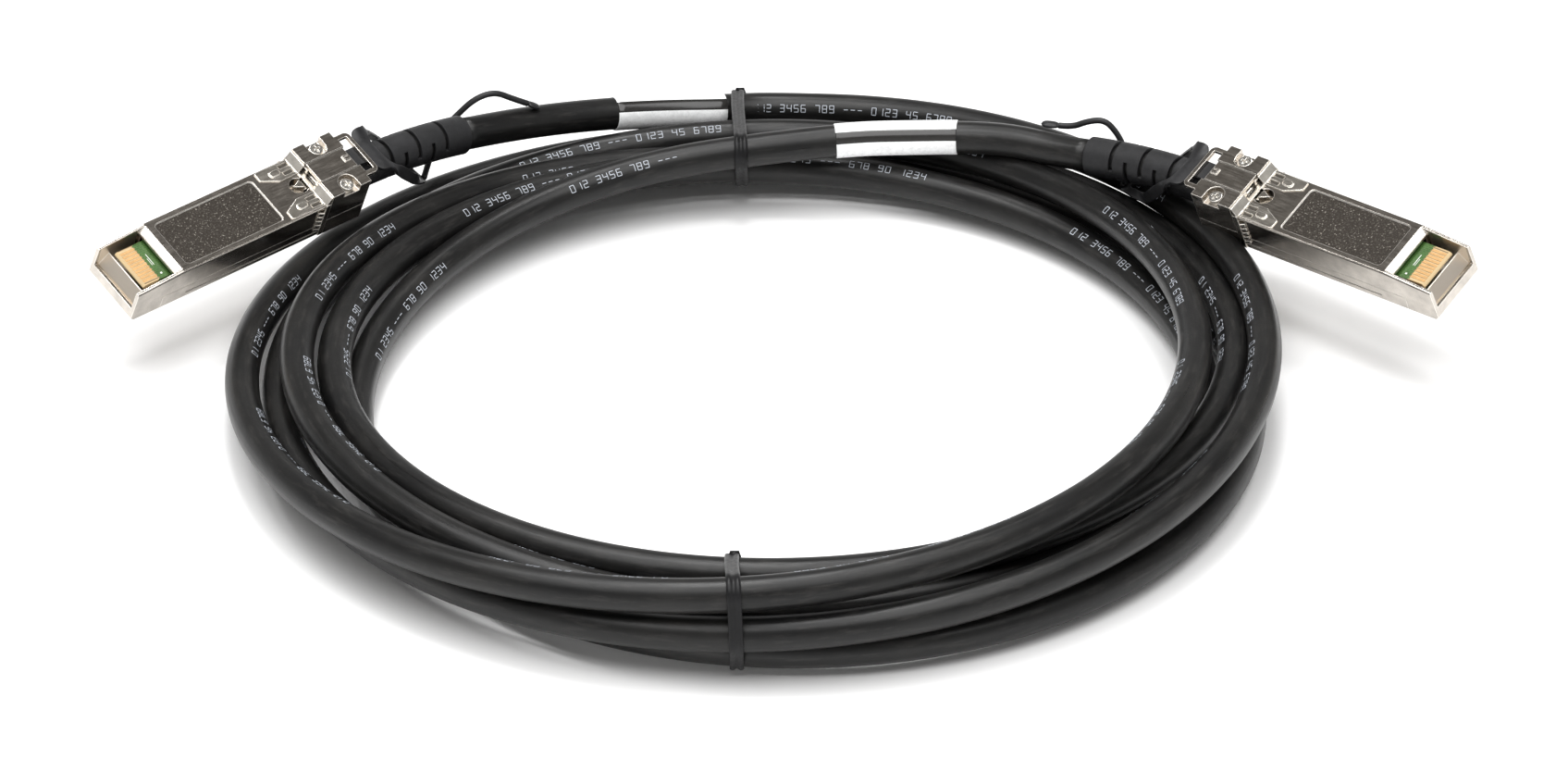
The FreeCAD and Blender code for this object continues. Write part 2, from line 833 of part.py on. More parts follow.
def build_collar(plug):
    body = new_body(plug.label("emi_collar"), plug.placement)
    skin = dim("sheet_thick")
    wide = half("body_wide")
    band = new_sketch(body, "YZ_Plane", -dim("collar_rear"))
    draw_outline(band, box_outline(-wide - skin, wide + skin, -dim("body_deep") - skin, skin))
    draw_outline(band, box_outline(-wide, wide, -dim("body_deep"), 0))
    pad(body, band, dim("collar_rear") - dim("collar_front"))
    # tabs on the label side, each with two openings and a raised dimple
    tab_rear = -dim("collar_front") - dim("join")
    tip_outer = wide - dim("tab_tip_inset")
    tab = top_profile(body, [
        (tab_rear, dim("tab_inner")),
        (dim("tab_shoulder"), dim("tab_inner")),
        (dim("tab_reach"), tip_outer - dim("tab_tip_wide")),
        (dim("tab_reach"), tip_outer),
        (dim("tab_reach") - dim("tab_tip_round"), wide - dim("body_edge")),
        (tab_rear, wide - dim("body_edge")),
    ], skin, skin)
    dimple_y = wide - dim("dimple_inset")
    dimple_start = dim("dimple_x") - half("dimple_long")
    dimple = top_profile(body, box_outline(dimple_start, dimple_start + dim("dimple_long"),
                                           dimple_y - half("dimple_wide"), dimple_y + half("dimple_wide"),
                                           half("dimple_wide") - dim("dimple_seat")),
                         skin + dim("dimple_rise"), dim("dimple_rise") + dim("dimple_seat"))
    openings = []
    for middle in (dimple_y - dim("tab_opening_inner"), dimple_y + dim("tab_opening_outer")):
        outline = box_outline(dim("tab_opening_start") - dim("collar_front"),
                              dimple_start - dim("tab_opening_end"),
                              middle - half("tab_opening_wide"), middle + half("tab_opening_wide"))
        openings.append(top_profile(body, outline, skin + dim("join"), skin + dim("join"), cut=True))
    mirror_across(body, [tab, dimple] + openings)
    # turned-up flange against the rear block
    flange = new_sketch(body, "XZ_Plane", -dim("tab_inner"))
    flange_top = dim("block_rise") - dim("flange_rise")
    draw_outline(flange, [
        (-dim("collar_front") - dim("flange_rise"), skin / 2),
        (-dim("collar_front"), skin),
        (dim("flange_bend") - dim("block_front"), flange_top),
        (-dim("block_front"), flange_top),
        (-dim("block_front"), flange_top - dim("flange_edge")),
    ])
    flange_pad = pad(body, flange, wide - dim("tab_inner"), reverse=True)
    mirror_across(body, [flange_pad])
    return body


def add_fingers(body, side):
    """Bowed spring fingers in one column on one side of the plug."""
    skin = dim("sheet_thick")
    wide = half("body_wide")
    back = -dim("collar_front") - dim("join")
    middle = back + dim("finger_reach") / 2
    front = dim("finger_reach") - dim("collar_front")
    sketch = new_sketch(body, "XY_Plane", -dim("finger_first"))
    draw_outline(sketch, [
        (back, side * wide),
        (middle, side * (wide + dim("finger_bulge"))),
        (front, side * (wide + dim("finger_rest"))),
        (front, side * (wide + dim("finger_rest") + skin)),
        (middle, side * (wide + dim("finger_bulge") + skin)),
        (back, side * (wide + skin)),
    ])
    finger = pad(body, sketch, dim("finger_wide"), reverse=True)
    column = body.newObject("PartDesign::LinearPattern", body.Name + "_column")
    column.Originals = [finger]
    column.Direction = (origin_feature(body, "Z_Axis"), [""])
    column.Reversed = True
    bind(column, "Length", dim("finger_pitch") * (dim("finger_count") - 1))
    bind(column, "Occurrences", dim("finger_count"))
    body.Tip = column


def build_slider(plug):
    body = new_body(plug.label("latch_slider"), plug.placement)
    top_profile(body, box_outline(dim("tongue_rear") - dim("slot_front"), -dim("tongue_front"),
                                  -half("tongue_wide"), half("tongue_wide")),
                dim("block_rise"), dim("tongue_thick"))
    # raised hook over the strap, open towards the slot
    rear = dim("hook_rear") - dim("slot_front")
    front = dim("hook_front") - dim("slot_front")
    outside = half("hook_wide")
    inside = half("hook_wide") - dim("hook_bar")
    top_profile(body, [
        (rear, -outside), (front, -outside), (front, outside), (rear, outside),
        (rear, inside), (front - dim("hook_bar"), inside),
        (front - dim("hook_bar"), -inside), (rear, -inside),
    ], dim("block_rise") + dim("hook_rise"), dim("hook_thick"))
    # lug that bears on the rocker, clear of the tunnel's end at full travel
    tongue_under = dim("block_rise") - dim("tongue_thick")
    top_profile(body, box_outline(-dim("tunnel_rear") + dim("latch_travel") + dim("tongue_gap"),
                                  -dim("pin_x") - half("boss_diameter") - dim("tongue_gap"),
                                  -half("lug_wide"), half("lug_wide")),
                tongue_under + dim("join"), tongue_under)
    return body


def build_rocker(plug):
    body = new_body(plug.label("latch_rocker"), plug.placement)
    top_profile(body, box_outline(-dim("rocker_rear"), dim("join"), -half("post_wide"), half("post_wide")),
                -dim("rocker_top"), dim("rocker_thick"))
    boss = new_sketch(body, "XZ_Plane")
    draw_circle(boss, -dim("pin_x"), -dim("pin_depth"), dim("boss_diameter"))
    pad(body, boss, dim("post_wide"), both_sides=True)
    top_profile(body, [(0, -half("post_wide")), (dim("post_long"), 0), (0, half("post_wide"))],
                dim("post_rise"), dim("post_rise") + dim("rocker_top") + dim("rocker_thick"))
    bore = new_sketch(body, "XZ_Plane")
    draw_circle(bore, -dim("pin_x"), -dim("pin_depth"), dim("pin_diameter") + 2 * dim("pin_clearance"))
    pocket(body, bore, dim("post_wide") + dim("cut_over"), both_sides=True)
    return body


def build_pin(plug):
    body = new_body(plug.label("rocker_pin"), plug.placement)
    sketch = new_sketch(body, "XZ_Plane")
    draw_circle(sketch, -dim("pin_x"), -dim("pin_depth"), dim("pin_diameter"))
    pad(body, sketch, dim("pin_long"), both_sides=True)
    return body


def build_screws(plug):
    body = new_body(plug.label("shell_screws"), plug.placement)
    seat = dim("block_rise") - dim("counterbore_depth")
    place = (-dim("screw_x"), dim("screw_y"))
    head = top_profile(body, None, seat + dim("screw_head_thick"), dim("screw_head_thick"),
                       circle=place + (dim("screw_head"),))
    shank = top_profile(body, None, seat, dim("screw_long"), circle=place + (dim("screw_shank"),))
    far = half("recess_long")
    near = half("recess_wide")
    corners = []
    for x, y in ((-far, -near), (-near, -near), (-near, -far), (near, -far), (near, -near), (far, -near),
                 (far, near), (near, near), (near, far), (-near, far), (-near, near), (-far, near)):
        corners.append((place[0] + x, place[1] + y))
    cross = top_profile(body, corners, seat + dim("screw_head_thick"), dim("recess_depth"), cut=True)
    mirror_across(body, [head, shank, cross])
    return body


def build_board(plug):
    body = new_body(plug.label("circuit_board"), plug.placement)
    top = -dim("board_top")
    side_profile(body, [
        (dim("board_rear"), top - dim("board_thick")),
        (dim("board_front") - dim("board_edge_low"), top - dim("board_thick")),
        (dim("board_front"), top - dim("board_thick") + dim("board_edge_low")),
        (dim("board_front"), top - dim("board_edge_high")),
        (dim("board_front") - dim("board_edge_back"), top),
        (dim("board_rear"), top),
    ], dim("board_wide"))
    return body


def build_contacts(plug):
    body = new_body(plug.label("edge_contacts"), plug.placement)
    front = dim("board_front") - dim("contact_inset")
    first = dim("contact_pitch") * (dim("contact_count") - 1) / 2
    finger = top_profile(body, box_outline(front - dim("contact_long"), front,
                                           first - half("contact_wide"), first + half("contact_wide")),
                         dim("contact_thick") - dim("board_top"), dim("contact_thick"))
    row = body.newObject("PartDesign::LinearPattern", body.Name + "_row")
    row.Originals = [finger]
    row.Direction = (origin_feature(body, "Y_Axis"), [""])
    row.Reversed = True
    bind(row, "Length", dim("contact_pitch") * (dim("contact_count") - 1))
    bind(row, "Occurrences", dim("contact_count"))
    body.Tip = row
    return body


def build_ferrule(plug):
    """Crimp ring inside the boot's mouth, round the cut end of the jacket."""
    outer = Part.makeCylinder(mm("cable_diameter") / 2, mm("ferrule_long"))
    inner = Part.makeCylinder(mm("cable_diameter") / 2 - mm("ferrule_thick"), mm("ferrule_long"))
    ring = outer.cut(inner)
    start = Vector(-mm("bore_front"), 0, -mm("boot_axis"))
    local = Placement(start, Rotation(Vector(0, 0, 1), Vector(-1, 0, 0)))
    new_feature(plug.label("crimp_ferrule"), ring, plug.placement.multiply(local))


def slot_cutter(plug, along, angle, first_turn):
    """A sector of a ring across the boot's axis, at a distance along the bend."""
    turn = math.degrees(along / mm("boot_bend_radius"))
    outer = mm("boot_diameter") / 2
    wide = mm("boot_slot_wide")
    reach = outer + mm("cut_over")
    sector = Part.makeCylinder(reach, wide, Vector(0, 0, 0), Vector(0, 0, 1), angle)
    core = Part.makeCylinder(outer - mm("boot_slot_depth"), wide)
    cutter = sector.cut(core)
    cutter.translate(Vector(0, 0, -wide / 2))
    # the cylinder's axis becomes the boot's axis, its start is turned to the slot's side
    cutter.rotate(Vector(0, 0, 0), Vector(0, 0, 1), first_turn)
    spin = Rotation(Vector(0, 0, 1), Vector(1, 0, 0))
    tilt = Rotation(Vector(0, 1, 0), -turn)
    frame = plug.boot_frame()
    rotation = frame.Rotation.multiply(tilt).multiply(spin)
    cutter.Placement = Placement(plug.boot_point(turn), rotation).multiply(cutter.Placement)
    return cutter


def build_boot(plug):
    """Strain relief: flange and neck in the shell's bore, then a sleeve bent down by its own weight."""
    outer = mm("boot_diameter") / 2
    inner = mm("cable_diameter") / 2
    axis_start = Vector(-mm("bore_front") - mm("boot_fit"), 0, -mm("boot_axis"))
    back = Vector(-1, 0, 0)
    neck_long = mm("boot_straight") - mm("bore_front") - mm("boot_fit")
    neck = Part.makeCylinder(outer, neck_long, axis_start, back)
    flange_start = Vector(-mm("flange_front") - mm("boot_fit"), 0, -mm("boot_axis"))
    flange_long = mm("flange_rear") - mm("flange_front") - 2 * mm("boot_fit")
    flange = Part.makeCylinder(mm("boot_flange") / 2, flange_long, flange_start, back)
    hole = Part.makeCylinder(inner, neck_long, axis_start, back)
    stub = neck.fuse(flange).cut(hole)
    stub.Placement = plug.placement
    section_centre = plug.boot_axis_start()
    frame = plug.boot_frame()
    way = frame.Rotation.multVec(Vector(1, 0, 0))
    bend_centre = frame.multVec(Vector(0, 0, -mm("boot_bend_radius")))
    bend_axis = frame.Rotation.multVec(Vector(0, -1, 0))
    bends = []
    for radius in (outer, inner):
        disc = Part.Face(Part.Wire([Part.makeCircle(radius, section_centre, way)]))
        bends.append(disc.revolve(bend_centre, bend_axis, mm("boot_bend_angle")))
    sleeve = bends[0].cut(bends[1])
    boot = stub.fuse(sleeve)
    long_angle = mm("boot_slot_angle_long")
    short_angle = mm("boot_slot_angle_short")
    end = math.radians(mm("boot_bend_angle")) * mm("boot_bend_radius")
    cutters = []
    for row in range(BOOT_SLOT_ROWS):
        along = end - mm("boot_slot_last") - row * mm("boot_slot_pitch")
        angle = long_angle if row % 2 == 0 else short_angle
        middle = 0 if row % 2 == 0 else 90
        for side in (0, 180):
            first_turn = middle + side - angle / 2 + plug.roll - plug.bend_turn
            cutters.append(slot_cutter(plug, along, angle, first_turn))
    # the cut can hand back the pieces it took out, the boot itself is the largest solid
    rest = boot.cut(cutters).Solids
    new_feature(plug.label("cable_boot"), max(rest, key=lambda solid: solid.Volume))


def loop_frame():
    """The tilted plane of the strap's loop: x down the slope, z out of it, in the plug's frame."""
    turn = Rotation(Vector(0, 1, 0), 180 - mm("loop_slope"))
    height = mm("block_rise") - mm("frame_thick") - mm("strap_under") - mm("strap_thick") / 2
    return Placement(Vector(-mm("loop_start"), 0, height), turn)


# Points of each strip behind the tip of its loop, from the coil's centre.
STRIP_POINTS = {
    "left": [
        (-66.6, 71.8, 14.4), (-64.4, 75.8, 16.6), (-61.6, 76.8, 19.4), (-58.2, 77.4, 22.6),
        (-54.2, 78.5, 23.6), (-50.6, 79.8, 21.2), (-47.6, 81.0, 19.4),
    ],
    "right": [
        (71.6, 62.4, 14.4), (71.2, 66.2, 17.4), (69.2, 66.8, 21.0), (66.8, 67.6, 23.4),
        (63.4, 68.4, 22.6), (60.4, 69.0, 20.9), (57.6, 69.6, 21.0),
    ],
}


def build_pull_tab(plug):
    """Soft moulded strap: a tongue under the frame, a loop round the boot, a strip and a paddle."""
    label = plug.label("pull_tab")
    strap = doc.addObject("PartDesign::Body", label + "_strap")
    strap.Placement = plug.placement
    top = dim("block_rise") - dim("frame_thick") - dim("strap_under")
    rear = -dim("loop_start") - dim("loop_hole_tip")
    top_profile(strap, box_outline(rear, -dim("strap_front"), -half("strap_wide"), half("strap_wide")),
                top, dim("strap_thick"))
    top_profile(strap, box_outline(rear, -dim("frame_rear") - dim("strap_join"),
                                   -half("loop_wide"), half("loop_wide")), top, dim("strap_thick"))
    # upright foot that joins the strap to the tongue above it
    top_profile(strap, box_outline(dim("hook_rear") - dim("slot_front"), -dim("strap_front"),
                                   -half("foot_wide"), half("foot_wide")),
                dim("block_rise") - dim("tongue_thick"), dim("strap_thick") / 2)
    doc.recompute()
    half_wide = mm("loop_wide") / 2
    leg = mm("loop_leg")
    skew = mm("loop_skew") * plug.skew_sign
    long = mm("loop_long")
    tip = mm("loop_tip")
    point = mm("loop_tip_wide")
    hole = mm("loop_hole_tip")
    hole_end = long - mm("loop_hole_end")
    taper = mm("loop_head") + mm("loop_taper")
    outer = [(-point, -half_wide), (mm("loop_head"), -half_wide), (long, skew - tip),
             (long + tip, skew - point), (long + tip, skew + point), (long, skew + tip),
             (mm("loop_head"), half_wide), (-point, half_wide)]
    inner = [(hole, leg - half_wide), (taper, leg - half_wide), (hole_end, skew - hole),
             (hole_end, skew + hole), (taper, half_wide - leg), (hole, half_wide - leg)]
    thick = mm("strap_thick")
    plate = extruded_polygon(outer, thick).cut(extruded_polygon(inner, thick))
    plate.Placement = plug.placement.multiply(loop_frame())
    tip_point = plug.placement.multiply(loop_frame()).multVec(Vector(long + point, skew, 0))
    points = [tip_point] + [from_ring(spot) for spot in STRIP_POINTS[plug.side]]
    edges = path_edges([tuple(spot) for spot in points], label)
    strip = tube(edges, mm("strip_diameter"))
    way = (points[-1] - points[-2]).normalize()
    paddle = Part.makeBox(mm("paddle_long"), mm("paddle_wide"), mm("paddle_thick"),
                          Vector(-point, -mm("paddle_wide") / 2, -mm("paddle_thick") / 2))
    level = Rotation(Vector(1, 0, 0), Vector(way.x, way.y, way.z))
    paddle.Placement = Placement(points[-1], level)
    shape = strap.Shape.fuse(plate).fuse(strip).fuse(paddle).removeSplitter()
    new_feature(label, shape)


def extruded_polygon(points, thick):
    """A flat plate with straight sides, its middle plane at height zero."""
    corners = [Vector(x, y, -thick / 2) for x, y in points]
    wire = Part.makePolygon(corners + [corners[0]])
    return Part.Face(wire).extrude(Vector(0, 0, thick))


PLUGS = [
    Plug("left", (-90.4, 41.4, 23.9), -136.9, 0.6, -23.9, 0, 1),
    Plug("right", (95.7, 34.6, 25.5), -41.7, -2.5, 22.3, -60, -1),
]

build_coil()
build_tie("tie_back", COIL_STATIONS[0], 1)
build_tie("tie_front", COIL_STATIONS[6], -1)
for plug in PLUGS:
    build_cover_shell(plug)
    build_base_shell(plug)
    collar = build_collar(plug)
    add_fingers(collar, 1)
    add_fingers(collar, -1)
    build_slider(plug)
    build_rocker(plug)
    build_pin(plug)
    build_screws(plug)
    build_board(plug)
    build_contacts(plug)
    build_ferrule(plug)
    build_boot(plug)
    build_pull_tab(plug)
    build_lead(plug)

doc.recompute()
failed = [item.Label for item in doc.Objects if "Invalid" in item.State or "Error" in item.State]
if failed:
    raise ValueError("failed objects: " + ", ".join(failed))
for node in NODES:
    if node.Shape.isNull() or not node.Shape.isValid():
        raise ValueError(node.Label + ": shape is null or not valid")
    node.Shape.exportStep("parts/%s.step" % node.Label)
whole = Part.makeCompound([node.Shape for node in NODES]).BoundBox
print("box centre", round(whole.Center.x, 3), round(whole.Center.y, 3), "lowest", round(whole.ZMin, 3))
print("box size", round(whole.XLength, 2), round(whole.YLength, 2), round(whole.ZLength, 2))
print("nodes", len(NODES))
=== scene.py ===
import bmesh
import bpy
import math
import numpy as np
from mathutils import Euler, Matrix, Vector


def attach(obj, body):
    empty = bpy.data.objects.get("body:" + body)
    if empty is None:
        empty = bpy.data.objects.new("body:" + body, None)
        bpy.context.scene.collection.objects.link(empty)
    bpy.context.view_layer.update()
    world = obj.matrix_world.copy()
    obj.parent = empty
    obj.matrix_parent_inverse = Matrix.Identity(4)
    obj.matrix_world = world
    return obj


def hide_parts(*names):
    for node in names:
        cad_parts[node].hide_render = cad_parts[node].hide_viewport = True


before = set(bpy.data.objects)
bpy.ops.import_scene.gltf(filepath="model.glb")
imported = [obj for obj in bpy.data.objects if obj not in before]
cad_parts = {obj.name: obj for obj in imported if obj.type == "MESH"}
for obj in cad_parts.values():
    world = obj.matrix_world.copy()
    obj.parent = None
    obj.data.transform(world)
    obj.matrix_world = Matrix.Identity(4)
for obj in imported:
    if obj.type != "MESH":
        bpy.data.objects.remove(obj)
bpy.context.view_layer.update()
MM = 0.001

# ---------------------------------------------------------------- camera, in the photograph's place
TARGET = Vector((0.4, -5.6, 8.0)) * MM
CAMERA_DISTANCE = 1.25
CAMERA_ELEVATION = math.radians(32)
SENSOR_WIDE = 36.0
LENS = 151.33

camera_data = bpy.data.cameras.new("camera")
camera_data.sensor_width = SENSOR_WIDE
camera_data.lens = LENS
camera = bpy.data.objects.new("camera", camera_data)
away = Vector((0, -math.cos(CAMERA_ELEVATION), math.sin(CAMERA_ELEVATION)))
camera.location = TARGET + CAMERA_DISTANCE * away
camera.rotation_euler = (math.pi / 2 - CAMERA_ELEVATION, 0, 0)
bpy.context.collection.objects.link(camera)
bpy.context.scene.camera = camera


def piece_from(name, mesh, body, materials=()):
    """A new piece that rides on a body and takes its finish from a material slot."""
    made = bpy.data.objects.new(name, mesh)
    bpy.context.collection.objects.link(made)
    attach(made, body)
    for material in materials:
        mesh.materials.append(material)
    return made


def mesh_of(name, points, faces, smooth=True):
    """A mesh from its points in metres and its faces as point numbers."""
    mesh = bpy.data.meshes.new(name)
    mesh.from_pydata([tuple(p) for p in points], [], faces)
    mesh.polygons.foreach_set("use_smooth", [smooth] * len(mesh.polygons))
    mesh.update()
    return mesh


def face_outwards(mesh):
    """Turn every face of a closed mesh outwards."""
    shape = bmesh.new()
    shape.from_mesh(mesh)
    bmesh.ops.recalc_face_normals(shape, faces=shape.faces)
    shape.to_mesh(mesh)
    shape.free()


def linear_step(value, low, high):
    """0 up to low, 1 from high on and straight between them. low may be above high."""
    return min(max((value - low) / (high - low), 0.0), 1.0)


def smooth_step(value, low, high):
    """The same with a soft S between them."""
    share = linear_step(value, low, high)
    return share * share * (3 - 2 * share)


# ---------------------------------------------------------------- materials, lengths in mm
# a Mix node's factor, first and second colour, and its result, by their places among its sockets
MIX_COLOUR_INPUTS = (0, 6, 7)
MIX_COLOUR_OUTPUT = 2


class Shader:
    """A node material with a Principled shader, built up by short calls."""

    def __init__(self, name, **sockets):
        self.material = bpy.data.materials.new(name)
        self.material.use_nodes = True
        self.tree = self.material.node_tree
        self.tree.nodes.clear()
        self.output = self.add("ShaderNodeOutputMaterial")
        self.shader = self.add("ShaderNodeBsdfPrincipled")
        self.join(self.shader, "BSDF", self.output, "Surface")
        for socket, value in sockets.items():
            self.shader.inputs[socket.replace("_", " ")].default_value = value

    def add(self, kind, inputs=None, **settings):
        """A node with its settings. An input is a value or the (node, output) that feeds it."""
        node = self.tree.nodes.new(kind)
        for key, value in settings.items():
            setattr(node, key, value)
        for key, value in (inputs or {}).items():
            if isinstance(value, tuple) and isinstance(value[0], bpy.types.Node):
                self.join(*value, node, key)
            else:
                node.inputs[key].default_value = value
        return node

    def join(self, source, output, target, socket):
        """Link one node's output to another's input."""
        self.tree.links.new(source.outputs[output], target.inputs[socket])

    def local(self, side=None):
        """Coordinates in millimetres: the part's frame, or one plug's own frame."""
        where = self.add("ShaderNodeTexCoord")
        mapping = self.add("ShaderNodeMapping", {"Vector": (where, "Object")}, vector_type="TEXTURE")
        mapping.inputs["Scale"].default_value = (MM, MM, MM)
        if side:
            position, turn = PLUGS[side]
            mapping.inputs["Location"].default_value = position * MM
            mapping.inputs["Rotation"].default_value = turn
        return mapping, "Vector"

    def noise(self, vector, scale, detail=3.0, roughness=0.55, stretch=None):
        """Cloudy noise from 0 to 1, finer where the coordinates are stretched more."""
        if stretch:
            vector = (self.add("ShaderNodeMapping", {"Vector": vector, "Scale": stretch}), "Vector")
        node = self.add("ShaderNodeTexNoise", {"Vector": vector, "Scale": scale, "Detail": detail,
                                               "Roughness": roughness})
        return node, "Fac"

    def ramp(self, value, stops):
        """A colour ramp: stops are (position, colour or grey)."""
        node = self.add("ShaderNodeValToRGB", {"Fac": value})
        elements = node.color_ramp.elements
        while len(elements) < len(stops):
            elements.new(0.5)
        for element, (position, colour) in zip(elements, stops):
            element.position = position
            element.color = (*colour, 1) if isinstance(colour, tuple) else (colour, colour, colour, 1)
        return node, "Color"

    def calc(self, operation, first, second=None):
        """One step of arithmetic. Each value is a number or a (node, output)."""
        node = self.add("ShaderNodeMath", operation=operation)
        for index, value in enumerate((first, second)):
            if isinstance(value, tuple):
                self.join(*value, node, index)
            elif value is not None:
                node.inputs[index].default_value = value
        return node, "Value"

    def mix(self, factor, first, second, blend="MIX"):
        """Two colours blended by a factor. Each is a colour or a (node, output)."""
        node = self.add("ShaderNodeMix", data_type="RGBA", blend_type=blend)
        for index, value in zip(MIX_COLOUR_INPUTS, (factor, first, second)):
            if isinstance(value, tuple) and isinstance(value[0], bpy.types.Node):
                self.join(*value, node, index)
            else:
                node.inputs[index].default_value = value if index == 0 else (*value, 1)
        return node, MIX_COLOUR_OUTPUT

    def feed(self, socket, value):
        """Link a (node, output) to the shader."""
        self.join(*value, self.shader, socket)

    def bump(self, height, strength, distance=0.0001, normal=None):
        """A normal that follows a height, on top of another normal where one is given."""
        node = self.add("ShaderNodeBump", {"Height": height, "Strength": strength, "Distance": distance})
        if normal:
            self.join(*normal, node, "Normal")
        return node, "Normal"

    def edges(self, radius, low, high):
        """1 on the sharp edges and 0 on the faces, and the normal with the edges rounded."""
        bevel = self.add("ShaderNodeBevel", {"Radius": radius}, samples=6)
        plain = self.add("ShaderNodeNewGeometry")
        dot = self.add("ShaderNodeVectorMath", operation="DOT_PRODUCT")
        self.join(bevel, "Normal", dot, 0)
        self.join(plain, "Normal", dot, 1)
        away = self.calc("SUBTRACT", 1.0, (dot, "Value"))
        mask = self.add("ShaderNodeMapRange", {"Value": away, "From Min": low, "From Max": high})
        return (mask, "Result"), (bevel, "Normal")


# origin of each plug in mm, at the latch shoulder on its label side, and its turn
# in a plug's own frame x runs to the nose and z to the label side
PLUGS = {
    "left": (Vector((-93.4, 40.4, 23.9)), Euler([math.radians(a) for a in (-23.9, 0.6, -136.9)])),
    "right": (Vector((92.7, 33.6, 25.5)), Euler([math.radians(a) for a in (22.3, -2.5, -41.7)])),
}


def plug_matrix(side):
    """From a plug's own frame in millimetres to the part's frame in metres."""
    position, turn = PLUGS[side]
    return Matrix.Translation(position * MM) @ turn.to_matrix().to_4x4() @ Matrix.Scale(MM, 4)


def jacket_material():
    """Soft black jacket: grey scuffs along its length and a fine drawn grain."""
    s = Shader("jacket_black", Specular_IOR_Level=0.3)
    place = s.local()
    route = (s.add("ShaderNodeAttribute", attribute_name="route"), "Vector")
    cloudy = s.noise(place, 0.09, 4.0, 0.6)
    fine = s.noise(place, 2.4, 3.0, 0.6)
    drawn = s.noise(route, 1.0, 5.0, 0.7, stretch=(0.03, 0.7, 0.7))
    scuffs = s.noise(route, 1.0, 4.0, 0.65, stretch=(0.14, 0.9, 0.9))
    tint = s.ramp(cloudy, [(0.3, (0.0045, 0.0045, 0.0048)), (0.55, (0.0075, 0.0073, 0.007)),
                           (0.8, (0.014, 0.0133, 0.0125))])
    scuffed = s.calc("MULTIPLY", s.ramp(scuffs, [(0.52, 0.0), (0.74, 1.0)]), 0.6)
    tint = s.mix(scuffed, tint, (0.035, 0.033, 0.031))
    dust = s.ramp(fine, [(0.62, 0.0), (0.78, 1.0)])
    s.feed("Base Color", s.mix(s.calc("MULTIPLY", dust, 0.12), tint, (0.06, 0.058, 0.055)))
    s.feed("Roughness", s.ramp(drawn, [(0.3, 0.26), (0.7, 0.48)]))
    s.feed("Normal", s.bump(drawn, 0.16, 0.00012, s.bump(s.noise(place, 1.1, 5.0, 0.7), 0.1, 0.0002)))
    return s.material


def rubber_material(name, tint, roughness, grain, shine=0.32):
    """Moulded rubber with a cloudy tint, softened edges and a fine grain."""
    s = Shader(name, Specular_IOR_Level=shine)
    place = s.local()
    low = tuple(c * 0.7 for c in tint)
    high = tuple(c * 1.5 for c in tint)
    s.feed("Base Color", s.ramp(s.noise(place, 0.3, 4.0), [(0.3, low), (0.7, high)]))
    s.feed("Roughness", s.ramp(s.noise(place, 1.4, 3.0), [(0.3, roughness - 0.06), (0.7, roughness + 0.08)]))
    round_normal = s.edges(0.00025, 0.02, 0.4)[1]
    s.feed("Normal", s.bump(s.noise(place, 6.0, 4.0, 0.7), grain, 0.00012, round_normal))
    return s.material


# painted light: a lighter cream tint for the metal inside the nose, standing in for the light on its walls
PAINTED_LIGHT_CREAM = (0.80, 0.72, 0.62)
# x, y and z ranges in a plug's own frame: the floor of the label recess and the inside of the nose
LABEL_FIELD = ((8.4, 32.5), (-5.47, 5.47), (-0.6, -0.1))
NOSE_INSIDE = ((35.6, 44.4), (-6.0, 6.0), (-8.0, -0.4))


def band(s, value, low, high):
    """1 where the value lies between low and high."""
    return s.calc("MULTIPLY", s.calc("GREATER_THAN", value, low), s.calc("LESS_THAN", value, high))


def within(s, axes, box):
    """1 inside a box given by its x, y and z ranges."""
    x, y, z = (band(s, (axes, name), *limits) for name, limits in zip("XYZ", box))
    return s.calc("MULTIPLY", s.calc("MULTIPLY", x, y), z)


def metal_material(name, side, tint, edge_highlight_tint, roughness, recess=False):
    """Bright plated metal: faint haze on the faces, a pale tint painted on the sharp edges as their
    highlight, and a speckled cast label field.
    """
    s = Shader(name, Metallic=1.0)
    place = s.local(side)
    haze = s.noise(place, 0.35, 4.0, 0.6)
    streaks = s.noise(place, 1.0, 3.0, 0.6, stretch=(0.25, 3.0, 3.0))
    low = tuple(c * 0.8 for c in tint)
    high = tuple(min(1.0, c * 1.12) for c in tint)
    body = s.ramp(haze, [(0.3, low), (0.7, high)])
    rim, round_normal = s.edges(0.00028, 0.015, 0.13)
    gloss = s.ramp(streaks, [(0.3, roughness), (0.7, roughness + 0.08)])
    if recess:
        axes = s.add("ShaderNodeSeparateXYZ", {"Vector": place})
        label = within(s, axes, LABEL_FIELD)
        speckle = s.noise(place, 3.0, 4.0, 0.65)
        spots = s.ramp(speckle, [(0.5, (0.042, 0.037, 0.032)), (0.62, (0.085, 0.075, 0.065)),
                                 (0.72, (0.60, 0.56, 0.50))])
        body = s.mix(label, body, spots)
        gloss = s.mix(label, gloss, (0.44, 0.44, 0.44))
        # inside the nose: a rougher finish, and the lighter cream tint that is painted light
        nose = within(s, axes, NOSE_INSIDE)
        body = s.mix(nose, body, PAINTED_LIGHT_CREAM)
        gloss = s.mix(nose, gloss, (0.36, 0.36, 0.36))
    # painted highlight: the sharp edges take a pale, rougher tint that stands in for the light they catch
    s.feed("Base Color", s.mix(rim, body, edge_highlight_tint))
    s.feed("Roughness", s.mix(rim, gloss, (0.42, 0.42, 0.42)))
    s.feed("Normal", s.bump(s.noise(place, 2.2, 4.0, 0.6), 0.05, 0.0001, round_normal))
    return s.material


FINGER_PITCH = 0.8
MASK_EDGE = 37.9
MASK_EDGE_WAVE = 0.22
GAPS_END = 41.3


